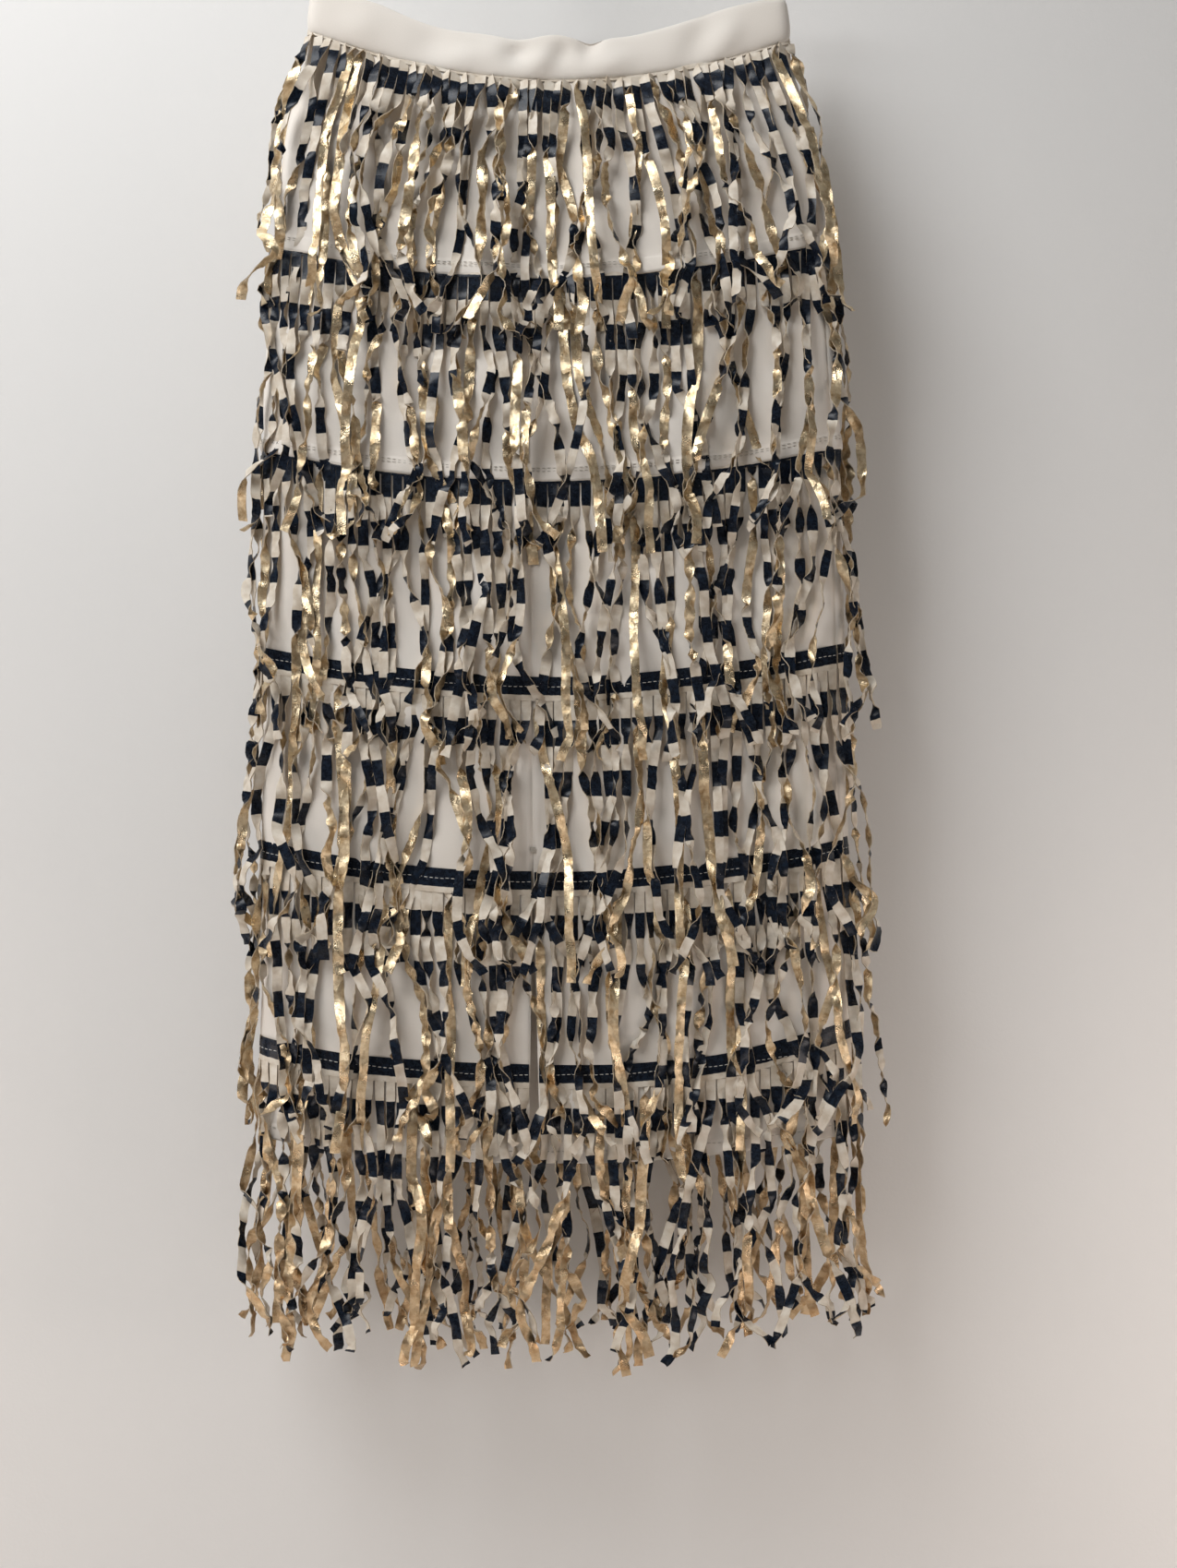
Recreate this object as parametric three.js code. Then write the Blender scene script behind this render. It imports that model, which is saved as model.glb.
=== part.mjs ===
// A long fringed skirt hanging by its two ribbon loops from a plain hanger, in millimetres, +Z up.
//
// The origin is the point under the crook of the hanger's hook that rests on a rail. The shown face of
// the skirt looks along -Y, and +X is to the right of someone who faces it. The skirt hangs flattened:
// its body is a tube of cloth panels between a waistband and an open hem, and six bands of cut leather
// fringe are sewn round it. Each band is a narrow strip whose locks hang free below it.
//
// A place on the body is given by three numbers:
//   turn   the share of the girth from the middle of the shown face, -0.5 to 0.5, growing towards +X
//   drop   how far below the waist seam, measured down the sides
//   out    how far outside the cloth's outer face
import * as THREE from "three";

// ---- Driving sizes ------------------------------------------------------------------------------

const SEAM = 0.3; // gap between pieces that are sewn together
const CLOTH = 1.5; // wall of the body panels
const BODY_BEND = 6.5; // least outer radius of the body where it folds round at the sides

const WAISTBAND = { height: 30, wall: 2.4, proud: 0.7 };
const SEAM_SHIFT = 15; // the garment hangs turned by this much, towards -X on the shown face
const VENT = { drop: 566, hemGap: 8 }; // walking slit at the foot of the middle seam

const BAND = { height: 14, leather: 1.2 }; // the uncut head of a fringe band
const LOCK = { width: 14, tipWidth: 12, reach: 222, sections: [0.3, 0.66, 1] };
const LOCKS_PER_FACE = 18;

const BAR = { drop: 75, radius: 4, halfLength: 186, knobRadius: 7, sides: 10 };
const HOOK = { wireRadius: 2, crookRadius: 18, sides: 6, steps: 24 };
const LOOP = { x: 160, width: 6, ribbon: 1, innerRadius: 5.4, intoBand: 20 };
const BAR_TO_WAISTBAND = 18; // from the bar's underside to the waistband's raised corners
const WAIST_SEAM_Z = -(BAR.drop + BAR.radius + BAR_TO_WAISTBAND + WAISTBAND.height);

// The drops where the body's panels and fringe bands start.
const WAIST = 0;
const HIP = 153;
const THIGH = 300;
const KNEE = 444;
const CALF = 584;
const HEM_BAND = 725;
const HEM = 793;

// Rings of the body, from the waistband's top to the fringe's tips. sag is how far the middle hangs
// below the sides, because the loops carry the waist at its two corners. flatness is 2 on an ellipse,
// and more where the faces lie flatter and the sides bend round more tightly.
const RINGS = [
  { drop: -WAISTBAND.height, halfWidth: 173, halfDepth: 9.5, sag: 33, flatness: 4 },
  { drop: WAIST, halfWidth: 174, halfDepth: 10.5, sag: 33, flatness: 4 },
  { drop: 70, halfWidth: 191, halfDepth: 15, sag: 29, flatness: 3.4 },
  { drop: HIP, halfWidth: 202, halfDepth: 20, sag: 26, flatness: 3 },
  { drop: THIGH, halfWidth: 209, halfDepth: 25, sag: 25, flatness: 2.7 },
  { drop: CALF, halfWidth: 212, halfDepth: 29, sag: 23, flatness: 2.5 },
  { drop: HEM, halfWidth: 214, halfDepth: 33, sag: 17, flatness: 2.4 },
  { drop: 945, halfWidth: 214, halfDepth: 34, sag: 15, flatness: 2.4 },
];

// Soft folds of the hanging cloth. at and breadth are shares of a face's half width, from its middle,
// and height is in millimetres, a ridge if positive and a trough if negative.
const FRONT_FOLDS = [
  { at: -0.85, breadth: 0.08, height: 2.2, from: 40, to: 420 },
  { at: -0.67, breadth: 0.09, height: 2.8, from: 60, to: HEM },
  { at: -0.43, breadth: 0.09, height: -2.0, from: 90, to: 700 },
  { at: -0.21, breadth: 0.09, height: 2.8, from: 30, to: 520 },
  { at: 0.0, breadth: 0.08, height: -2.2, from: 20, to: 640 },
  { at: 0.2, breadth: 0.09, height: 2.6, from: 60, to: HEM },
  { at: 0.45, breadth: 0.1, height: 3.2, from: 70, to: 640 },
  { at: 0.63, breadth: 0.08, height: -1.8, from: 200, to: HEM },
  { at: 0.83, breadth: 0.08, height: 2.4, from: 50, to: HEM },
];
const BACK_FOLDS = [
  { at: -0.78, breadth: 0.1, height: 2.2, from: 60, to: 600 },
  { at: -0.5, breadth: 0.12, height: 2.6, from: 40, to: HEM },
  { at: -0.2, breadth: 0.12, height: -2.2, from: 90, to: 700 },
  { at: 0.12, breadth: 0.12, height: 2.8, from: 30, to: HEM },
  { at: 0.42, breadth: 0.11, height: -1.8, from: 150, to: 620 },
  { at: 0.74, breadth: 0.1, height: 2.4, from: 60, to: HEM },
];
const FOLD_FADE = 60; // a fold grows and dies over this much drop

// The waistband's top edge dips and lifts between the corners. at is a share of the half width.
const BAND_TOP_WAVES = [
  { at: -0.42, breadth: 0.16, height: -2.5 },
  { at: -0.13, breadth: 0.08, height: -2.2 },
  { at: 0.02, breadth: 0.08, height: 2.6 },
  { at: 0.17, breadth: 0.06, height: -4.2 },
  { at: 0.5, breadth: 0.2, height: 1.6 },
];

// The fringe bands. The locks at the sides swing out by swingLeft and swingRight at their tips. A split
// band stops at the slit and goes on beyond it.
const TIERS = [
  { name: "waist", drop: WAIST, swingLeft: 0, swingRight: 6, split: false },
  { name: "hip", drop: HIP, swingLeft: 1, swingRight: 12, split: false },
  { name: "thigh", drop: THIGH, swingLeft: 5, swingRight: 24, split: false },
  { name: "knee", drop: KNEE, swingLeft: 7, swingRight: 16, split: false },
  { name: "calf", drop: CALF, swingLeft: 12, swingRight: 24, split: true },
  { name: "hem", drop: HEM_BAND, swingLeft: 12, swingRight: 8, split: true },
];

// How far a lock stands off the cloth, down its length. share runs from its root to its tip.
const STAND_OFF = [
  { share: 0, front: 0, back: 0 },
  { share: 0.3, front: 4.2, back: 3.2 },
  { share: 0.66, front: 9.2, back: 7 },
  { share: 1, front: 11.5, back: 8.4 },
];

const PAINT = {
  ivoryCrepe: { color: 0xe9e4da, roughness: 0.85, metalness: 0 },
  navyLeather: { color: 0x1c2333, roughness: 0.42, metalness: 0 },
  goldLeather: { color: 0xc9a86a, roughness: 0.34, metalness: 0.75 },
  satinRibbon: { color: 0xefeae0, roughness: 0.5, metalness: 0 },
  steel: { color: 0xb9bcc0, roughness: 0.3, metalness: 0.9 },
};

// ---- Sums ---------------------------------------------------------------------------------------

// The value of a column of a table at a place between its rows, smooth and never past its rows.
function between(rows, key, column, place) {
  const last = rows.length - 1;
  if (place <= rows[0][key]) return rows[0][column];
  if (place >= rows[last][key]) return rows[last][column];
  const i = rows.findIndex((row) => row[key] > place) - 1;
  const slopeOf = (n) => (rows[n + 1][column] - rows[n][column]) / (rows[n + 1][key] - rows[n][key]);
  const tangent = (n) => {
    if (n === 0) return slopeOf(0);
    if (n === last) return slopeOf(last - 1);
    const [before, after] = [slopeOf(n - 1), slopeOf(n)];
    return before * after <= 0 ? 0 : (2 * before * after) / (before + after);
  };
  const span = rows[i + 1][key] - rows[i][key];
  const s = (place - rows[i][key]) / span;
  const rise = s * s * (3 - 2 * s);
  const straight = rows[i][column] * (1 - rise) + rows[i + 1][column] * rise;
  return straight + span * s * (1 - s) * ((1 - s) * tangent(i) - s * tangent(i + 1));
}

const smooth = (low, high, value) => THREE.MathUtils.smoothstep(value, low, high);
const bump = (distance, breadth) => Math.exp(-((distance / breadth) ** 2));
const sum = (values) => values.reduce((total, value) => total + value, 0);

// A steady stream of numbers from -1 to 1 for the small unevenness of hand-cut locks.
function unevenness(seed) {
  let state = seed;
  return () => {
    state = (state * 1664525 + 1013904223) % 4294967296;
    return state / 2147483648 - 1;
  };
}

// ---- The body's surface -------------------------------------------------------------------------

const QUARTER_STEPS = 240;
const quarters = new Map();

// A quarter of the ring at a drop, from the middle of a face to the side: a flattened ellipse grown by
// the bend radius, with the length run so far at each point.
function quarterAt(drop) {
  if (quarters.has(drop)) return quarters.get(drop);
  const width = between(RINGS, "drop", "halfWidth", drop) - BODY_BEND;
  const depth = between(RINGS, "drop", "halfDepth", drop) - BODY_BEND;
  const power = 2 / between(RINGS, "drop", "flatness", drop);
  const spine = Array.from({ length: QUARTER_STEPS + 1 }, (_, i) => {
    const angle = (Math.PI / 2) * (i / QUARTER_STEPS);
    const [sine, cosine] = [Math.sin(angle), Math.max(0, Math.cos(angle))];
    return new THREE.Vector2(width * sine ** power, depth * cosine ** power);
  });
  // The spine goes on beyond its ends as its own mirror image, which squares the normals there.
  const before = new THREE.Vector2(-spine[1].x, spine[1].y);
  const after = new THREE.Vector2(spine[QUARTER_STEPS - 1].x, -spine[QUARTER_STEPS - 1].y);
  const points = [];
  spine.forEach((place, i) => {
    const run = (spine[i + 1] ?? after).clone().sub(spine[i - 1] ?? before);
    const normal = new THREE.Vector2(-run.y, run.x).normalize();
    const grown = place.clone().addScaledVector(normal, BODY_BEND);
    const length = i > 0 ? points[i - 1].run + grown.distanceTo(points[i - 1].place) : 0;
    points.push({ place: grown, normal, run: length });
  });
  quarters.set(drop, points);
  return points;
}

const girthAt = (drop) => 4 * quarterAt(drop)[QUARTER_STEPS].run;
const inTurns = (length, drop) => length / girthAt(drop);

function foldHeight(folds, share, drop) {
  const heights = folds.map((fold) => {
    const grown = smooth(fold.from - FOLD_FADE, fold.from + FOLD_FADE, drop);
    const died = fold.to === HEM ? 0 : smooth(fold.to - FOLD_FADE, fold.to + FOLD_FADE, drop);
    return fold.height * bump(share - fold.at, fold.breadth) * grown * (1 - died);
  });
  return sum(heights);
}

// The point and the level outward normal on the smooth body.
function bodyFrame(turn, drop, out) {
  const wrapped = turn - Math.round(turn);
  const side = wrapped < 0 ? -1 : 1;
  const quarterTurns = 4 * Math.abs(wrapped);
  const onFront = quarterTurns <= 1;
  const facing = onFront ? -1 : 1;
  const share = onFront ? quarterTurns : 2 - quarterTurns;
  const points = quarterAt(drop);
  const wanted = share * points[QUARTER_STEPS].run;
  const next = points.findIndex((entry, n) => n > 0 && entry.run >= wanted);
  const high = points[next < 0 ? QUARTER_STEPS : next];
  const low = points[(next < 0 ? QUARTER_STEPS : next) - 1];
  const s = (wanted - low.run) / (high.run - low.run);
  const flat = low.place.clone().lerp(high.place, s);
  const level = low.normal.clone().lerp(high.normal, s).normalize();
  const normal = new THREE.Vector3(side * level.x, facing * level.y, 0);
  const sag = between(RINGS, "drop", "sag", drop);
  const across = Math.min(1, flat.x / between(RINGS, "drop", "halfWidth", drop));
  const height = WAIST_SEAM_Z - drop - sag * (1 - across ** 2);
  const fold = foldHeight(onFront ? FRONT_FOLDS : BACK_FOLDS, side * share, drop);
  const point = new THREE.Vector3(side * flat.x, facing * flat.y, height);
  return { point: point.addScaledVector(normal, out + fold), normal };
}

// Stations round the girth, as turns: one on each fold, one between neighbours, and more round the
// sides, where the body bends.
const SIDE_SHARES = [0.9, 0.955];
const STATIONS = (() => {
  const shares = (folds) => {
    const crests = folds.map((fold) => fold.at);
    const valleys = crests.slice(1).map((at, i) => (at + crests[i]) / 2);
    return [...crests, ...valleys, ...SIDE_SHARES, ...SIDE_SHARES.map((share) => -share)];
  };
  const front = shares(FRONT_FOLDS).map((share) => share / 4);
  const back = shares(BACK_FOLDS).map((share) => Math.sign(share) * 0.5 - share / 4);
  return [...front, ...back, -0.25, 0.25].sort((a, b) => a - b);
})();

// Rows down the body, as drops.
const ROWS = [-WAISTBAND.height, WAIST, 55, 106, HIP, 228, THIGH, 372, KNEE, 514, CALF, 655, HEM_BAND, HEM];

// The two neighbours of a value in a sorted list, and how far it lies between them.
function neighbours(sorted, value) {
  const high = Math.min(sorted.length - 1, Math.max(1, sorted.findIndex((entry) => entry > value)));
  const past = value >= sorted[sorted.length - 1];
  const i = past ? sorted.length - 1 : high;
  return [sorted[i - 1], sorted[i], (value - sorted[i - 1]) / (sorted[i] - sorted[i - 1])];
}

const WRAPPED_STATIONS = [STATIONS[STATIONS.length - 1] - 1, ...STATIONS, STATIONS[0] + 1];

// The point on the flat facets between the stations and rows, moved out. The panels have these facets,
// and what lies on a panel is made from them, so that it stays clear of the panel all over.
function facetPoint(turn, drop, out) {
  const [left, right, across] = neighbours(WRAPPED_STATIONS, turn - Math.round(turn));
  const [upper, lower, down] = neighbours(ROWS, drop);
  // Each facet is two triangles, parted from its lower left to its upper right corner.
  const inUpper = across + down <= 1;
  const corners = [
    { frame: bodyFrame(left, upper, 0), weight: inUpper ? 1 - across - down : 0 },
    { frame: bodyFrame(right, upper, 0), weight: inUpper ? across : 1 - down },
    { frame: bodyFrame(left, lower, 0), weight: inUpper ? down : 1 - across },
    { frame: bodyFrame(right, lower, 0), weight: inUpper ? 0 : across + down - 1 },
  ];
  const mix = (part) => {
    const mixed = new THREE.Vector3();
    for (const { frame, weight } of corners) mixed.addScaledVector(frame[part], weight);
    return mixed;
  };
  return mix("point").addScaledVector(mix("normal").normalize(), out);
}

// The stations strictly between two turns, which may run on past the middle of the back.
function stationsBetween(start, end, margin = 0.003) {
  const twice = [...STATIONS, ...STATIONS.map((turn) => turn + 1)];
  return twice.filter((turn) => turn > start + margin && turn < end - margin);
}

// ---- Seams --------------------------------------------------------------------------------------

// An edge between panels, as a turn at a drop. home is where it lies on a body that isn't turned.
class Edge {
  constructor(home, hemGap = 0) {
    this.home = home;
    this.hemGap = hemGap;
  }

  halfGap(drop) {
    const opened = Math.max(0, (drop - VENT.drop) / (HEM - VENT.drop));
    return inTurns((SEAM + this.hemGap * opened) / 2, drop);
  }

  turn(drop) {
    return this.home - inTurns(SEAM_SHIFT, drop);
  }

  // Where the piece that starts at this edge begins, and where the one before it ends.
  start(drop) {
    return this.turn(drop) + this.halfGap(drop);
  }

  end(drop) {
    return this.turn(drop) - this.halfGap(drop);
  }
}

const LEFT_SIDE = new Edge(-0.25);
const MIDDLE = new Edge(0, VENT.hemGap);
const RIGHT_SIDE = new Edge(0.25);
const LEFT_SIDE_AGAIN = new Edge(0.75);

const SIDES = {
  front: { from: LEFT_SIDE, to: RIGHT_SIDE, faces: 1 },
  front_left: { from: LEFT_SIDE, to: MIDDLE, faces: 0.5 },
  front_right: { from: MIDDLE, to: RIGHT_SIDE, faces: 0.5 },
  back: { from: RIGHT_SIDE, to: LEFT_SIDE_AGAIN, faces: 1 },
};

// ---- Solids -------------------------------------------------------------------------------------

// Triangles gathered by corner, where corners are kept in one list of points.
class Facets {
  constructor() {
    this.points = [];
    this.triangles = [];
  }

  corner(point) {
    this.points.push(point.x, point.y, point.z);
    return this.points.length / 3 - 1;
  }

  triangle(a, b, c) {
    this.triangles.push(a, b, c);
  }

  // Four corners, anticlockwise seen from outside.
  quad(a, b, c, d) {
    this.triangles.push(a, b, c, a, c, d);
  }

  geometry() {
    const shape = new THREE.BufferGeometry();
    shape.setAttribute("position", new THREE.Float32BufferAttribute(this.points, 3));
    shape.setIndex(this.triangles);
    shape.computeVertexNormals();
    return shape;
  }
}

// A wall between two sheets of points, outer[row][column] and inner[row][column], with rows running
// down and columns running towards growing turn.
function wallGeometry(outerPoints, innerPoints) {
  const facets = new Facets();
  const cornersOf = (sheet) => sheet.map((row) => row.map((point) => facets.corner(point)));
  const outer = cornersOf(outerPoints);
  const inner = cornersOf(innerPoints);
  const foot = outer.length - 1;
  const far = outer[0].length - 1;
  for (let r = 0; r < foot; r++) {
    for (let c = 0; c < far; c++) {
      facets.quad(outer[r + 1][c], outer[r + 1][c + 1], outer[r][c + 1], outer[r][c]);
      facets.quad(inner[r][c], inner[r][c + 1], inner[r + 1][c + 1], inner[r + 1][c]);
    }
    facets.quad(inner[r][0], inner[r + 1][0], outer[r + 1][0], outer[r][0]);
    facets.quad(outer[r][far], outer[r + 1][far], inner[r + 1][far], inner[r][far]);
  }
  for (let c = 0; c < far; c++) {
    facets.quad(outer[0][c], outer[0][c + 1], inner[0][c + 1], inner[0][c]);
    facets.quad(inner[foot][c], inner[foot][c + 1], outer[foot][c + 1], outer[foot][c]);
  }
  return facets.geometry();
}

// ---- Body panels --------------------------------------------------------------------------------

const PANELS = [
  { name: "yoke", top: WAIST, foot: HIP },
  { name: "mid_panel", top: HIP, foot: THIGH },
  { name: "lower_panel", top: THIGH, foot: HEM },
];

// A cloth panel over one side of the body, kept half a seam short where another panel follows.
function panelGeometry(panel, side) {
  const foot = panel.foot === HEM ? HEM : panel.foot - SEAM / 2;
  const rows = ROWS.filter((drop) => drop > panel.top && drop < panel.foot);
  const drops = [panel.top + SEAM / 2, ...rows, foot];
  const inside = stationsBetween(
    Math.max(...drops.map((drop) => side.from.start(drop))),
    Math.min(...drops.map((drop) => side.to.end(drop))),
  );
  const turnsAt = (drop) => [side.from.start(drop), ...inside, side.to.end(drop)];
  const sheet = (out) => drops.map((drop) => turnsAt(drop).map((turn) => facetPoint(turn, drop, out)));
  return wallGeometry(sheet(0), sheet(-CLOTH));
}

function bodyPanels() {
  return PANELS.flatMap((panel) =>
    ["front_left", "front_right", "back"].map((side) => ({
      name: panel.name + "_" + side,
      geometry: panelGeometry(panel, SIDES[side]),
      paint: PAINT.ivoryCrepe,
    })),
  );
}

// ---- Waistband ----------------------------------------------------------------------------------

const WAISTBAND_ROWS = 3;

// How far the waistband's top edge lifts at a turn. It stays level at the two corners.
function topWave(turn) {
  const quarterTurns = 4 * (turn - Math.round(turn));
  const share = Math.abs(quarterTurns) <= 1 ? quarterTurns : Math.sign(quarterTurns) * 2 - quarterTurns;
  const waves = BAND_TOP_WAVES.map((wave) => wave.height * bump(share - wave.at, wave.breadth));
  return smooth(0, 0.15, 1 - Math.abs(share)) * sum(waves);
}

// Half of the waistband, a faced strip that stands a little proud of the cloth below it.
function waistbandGeometry(start, end) {
  const turns = [start, ...stationsBetween(start, end), end];
  const steps = Array.from({ length: WAISTBAND_ROWS + 1 }, (_, row) => 1 - row / WAISTBAND_ROWS);
  const raised = (turn, step, out) => {
    const point = facetPoint(turn, -SEAM / 2 - (WAISTBAND.height - SEAM / 2) * step, out);
    point.z += topWave(turn) * step;
    return point;
  };
  const sheet = (out) => steps.map((step) => turns.map((turn) => raised(turn, step, out)));
  return wallGeometry(sheet(WAISTBAND.proud), sheet(WAISTBAND.proud - WAISTBAND.wall));
}

function waistband() {
  const halfSeam = inTurns(SEAM / 2, WAIST);
  const halves = [
    { name: "waistband_front", start: -0.25, end: 0.25 },
    { name: "waistband_back", start: 0.25, end: 0.75 },
  ];
  return halves.map(({ name, start, end }) => ({
    name,
    geometry: waistbandGeometry(start + halfSeam, end - halfSeam),
    paint: PAINT.ivoryCrepe,
  }));
}

// ---- Fringe -------------------------------------------------------------------------------------

// How far outside the cloth a lock hangs, at a share of its length.
function standOff(tier, turn, share) {
  const wrapped = turn - Math.round(turn);
  const frontness = 1 - smooth(0.2, 0.3, Math.abs(wrapped));
  const sideness = 1 - smooth(0, 0.07, Math.abs(Math.abs(wrapped) - 0.25));
  const swing = wrapped < 0 ? tier.swingLeft : tier.swingRight;
  const [front, back] = ["front", "back"].map((column) => between(STAND_OFF, "share", column, share));
  return THREE.MathUtils.lerp(back, front, frontness) + swing * sideness * share ** 1.5;
}

// The four corners of a lock's section: inner start, inner end, outer end, outer start.
function lockSection(tier, lock, share) {
  const drop = tier.drop + BAND.height + lock.length * share;
  const halfWidth = THREE.MathUtils.lerp(LOCK.width, LOCK.tipWidth, share) / 2;
  const halfThickness = BAND.leather / 2;
  const sway = lock.lean * share + lock.bend * Math.sin(2 * Math.PI * share);
  const out = SEAM + halfThickness + standOff(tier, lock.turn, share);
  const { point, normal } = bodyFrame(lock.turn + inTurns(sway, drop), drop, out);
  const along = new THREE.Vector3(-normal.y, normal.x, 0);
  const up = new THREE.Vector3(0, 0, 1);
  const across = along.applyAxisAngle(up, lock.twist * share);
  const thick = normal.applyAxisAngle(up, lock.twist * share);
  const corner = (a, b) =>
    point.clone().addScaledVector(across, a * halfWidth).addScaledVector(thick, b * halfThickness);
  return [corner(-1, -1), corner(1, -1), corner(1, 1), corner(-1, 1)];
}

// The roots of a band's locks, evenly spaced, with each edge moved onto a station that lies close to it.
function lockRoots(start, end, count, halfRoot) {
  const stations = stationsBetween(start, end);
  const onStation = (edge) => stations.find((turn) => Math.abs(turn - edge) < 0.0015) ?? edge;
  return Array.from({ length: count }, (_, n) => {
    const turn = start + ((end - start) * (n + 0.5)) / count;
    return { turn, from: onStation(turn - halfRoot), to: onStation(turn + halfRoot) };
  });
}

// A band over one side of the body: an uncut strip, and its locks fused to the strip's foot.
function fringeGeometry(tier, side, seed) {
  const facets = new Facets();
  const uneven = unevenness(seed);
  const top = tier.drop + SEAM;
  const foot = tier.drop + BAND.height;
  const [start, end] = [side.from.start(foot), side.to.end(foot)];
  const roots = lockRoots(start, end, LOCKS_PER_FACE * side.faces, inTurns(LOCK.width / 2, foot));
  const edges = roots.flatMap((root) => [root.from, root.to]);
  const turns = [...new Set([start, ...edges, ...stationsBetween(start, end), end])].sort((a, b) => a - b);
  const columns = turns.map((turn) => ({
    topInner: facets.corner(facetPoint(turn, top, SEAM)),
    topOuter: facets.corner(facetPoint(turn, top, SEAM + BAND.leather)),
    footInner: facets.corner(facetPoint(turn, foot, SEAM)),
    footOuter: facets.corner(facetPoint(turn, foot, SEAM + BAND.leather)),
  }));
  const rootColumns = roots.map((root) =>
    columns.filter((_, i) => turns[i] >= root.from && turns[i] <= root.to),
  );
  for (let i = 0; i + 1 < columns.length; i++) {
    const [left, right] = [columns[i], columns[i + 1]];
    facets.quad(left.footOuter, right.footOuter, right.topOuter, left.topOuter);
    facets.quad(left.topInner, right.topInner, right.footInner, left.footInner);
    facets.quad(left.topOuter, right.topOuter, right.topInner, left.topInner);
    const locked = rootColumns.some((members) => members.includes(left) && members.includes(right));
    if (!locked) facets.quad(left.footInner, right.footInner, right.footOuter, left.footOuter);
  }
  const [first, last] = [columns[0], columns[columns.length - 1]];
  facets.quad(first.topInner, first.footInner, first.footOuter, first.topOuter);
  facets.quad(last.topOuter, last.footOuter, last.footInner, last.topInner);

  roots.forEach(({ turn }, n) => {
    const length = LOCK.reach - BAND.height - 8 * Math.abs(uneven());
    const lock = { turn, length, lean: 2.2 * uneven(), bend: 2 * uneven(), twist: 0.4 * uneven() };
    growLock(facets, rootColumns[n], tier, lock);
  });
  return facets.geometry();
}

// A lock is a tube of four sides, grown from its root's columns and closed at its tip.
function growLock(facets, members, tier, lock) {
  const inner = members.map((column) => column.footInner);
  const outer = members.map((column) => column.footOuter).reverse();
  let ring = [...inner, ...outer];
  for (const share of LOCK.sections) {
    const next = lockSection(tier, lock, share).map((point) => facets.corner(point));
    joinRings(facets, ring, next);
    ring = next;
  }
  facets.quad(...ring);
}

// Joins a ring of corners to the ring of four below it. The upper ring may have more corners on its
// two long sides, which then fan to the lower ring's corners.
function joinRings(facets, upper, lower) {
  const half = upper.length / 2;
  const fan = (corners, from, to) => {
    for (let i = 0; i + 2 < corners.length; i++) facets.triangle(corners[i], corners[i + 1], from);
    facets.quad(corners[corners.length - 2], corners[corners.length - 1], to, from);
  };
  fan(upper.slice(0, half), lower[0], lower[1]);
  facets.quad(upper[half - 1], upper[half], lower[2], lower[1]);
  fan(upper.slice(half), lower[2], lower[3]);
  facets.quad(upper[upper.length - 1], upper[0], lower[0], lower[3]);
}

function fringe() {
  const sidesOf = (tier) => (tier.split ? ["front_left", "front_right", "back"] : ["front", "back"]);
  return TIERS.flatMap((tier, t) =>
    sidesOf(tier).map((side, s) => ({
      name: "fringe_" + tier.name + "_" + side,
      geometry: fringeGeometry(tier, SIDES[side], 101 + 10 * t + s),
      paint: t % 2 ? PAINT.goldLeather : PAINT.navyLeather,
    })),
  );
}

// ---- Hanger -------------------------------------------------------------------------------------

// The hook's wire runs from the crook's open end over its top and down the neck to the bar.
function hookGeometry() {
  const { wireRadius, crookRadius, sides, steps } = HOOK;
  const centre = -wireRadius - crookRadius;
  const foot = -BAR.drop + BAR.radius + SEAM;
  const points = [];
  for (let degrees = -25; degrees <= 205; degrees += 23) {
    const angle = THREE.MathUtils.degToRad(degrees);
    const radius = crookRadius + 2 * wireRadius;
    points.push(new THREE.Vector3(radius * Math.cos(angle), 0, centre + radius * Math.sin(angle)));
  }
  const neck = [
    [-10, -41],
    [-2, -51],
    [0, -60],
    [0, foot],
  ];
  points.push(...neck.map(([x, z]) => new THREE.Vector3(x, 0, z)));
  const corners = Array.from({ length: sides }, (_, n) => {
    const angle = (2 * Math.PI * (n + 0.5)) / sides;
    return new THREE.Vector2(wireRadius * Math.cos(angle), wireRadius * Math.sin(angle));
  });
  const extrudePath = new THREE.CatmullRomCurve3(points);
  return new THREE.ExtrudeGeometry(new THREE.Shape(corners), { extrudePath, steps });
}

// The bar is turned from one rod, with a knob at each end that keeps the loops on.
function barGeometry() {
  const { radius, halfLength, knobRadius, sides } = BAR;
  const half = [
    [radius, halfLength - 2.6 * knobRadius],
    [knobRadius * 0.9, halfLength - 1.7 * knobRadius],
    [knobRadius, halfLength - knobRadius],
    [knobRadius * 0.75, halfLength - 0.3 * knobRadius],
    [0, halfLength],
  ];
  const mirrored = half.map(([across, along]) => [across, -along]).reverse();
  const outline = [...mirrored, ...half].map(([across, along]) => new THREE.Vector2(across, along));
  const shape = new THREE.LatheGeometry(outline, sides);
  return shape.rotateZ(-Math.PI / 2).translate(0, 0, -BAR.drop);
}

// The turn on the back face whose point has this distance from the middle.
function backTurnAt(x, drop) {
  let [low, high] = [0.25, 0.5];
  for (let i = 0; i < 30; i++) {
    const middle = (low + high) / 2;
    if (bodyFrame(middle, drop, 0).point.x > x) low = middle;
    else high = middle;
  }
  return low;
}

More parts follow.
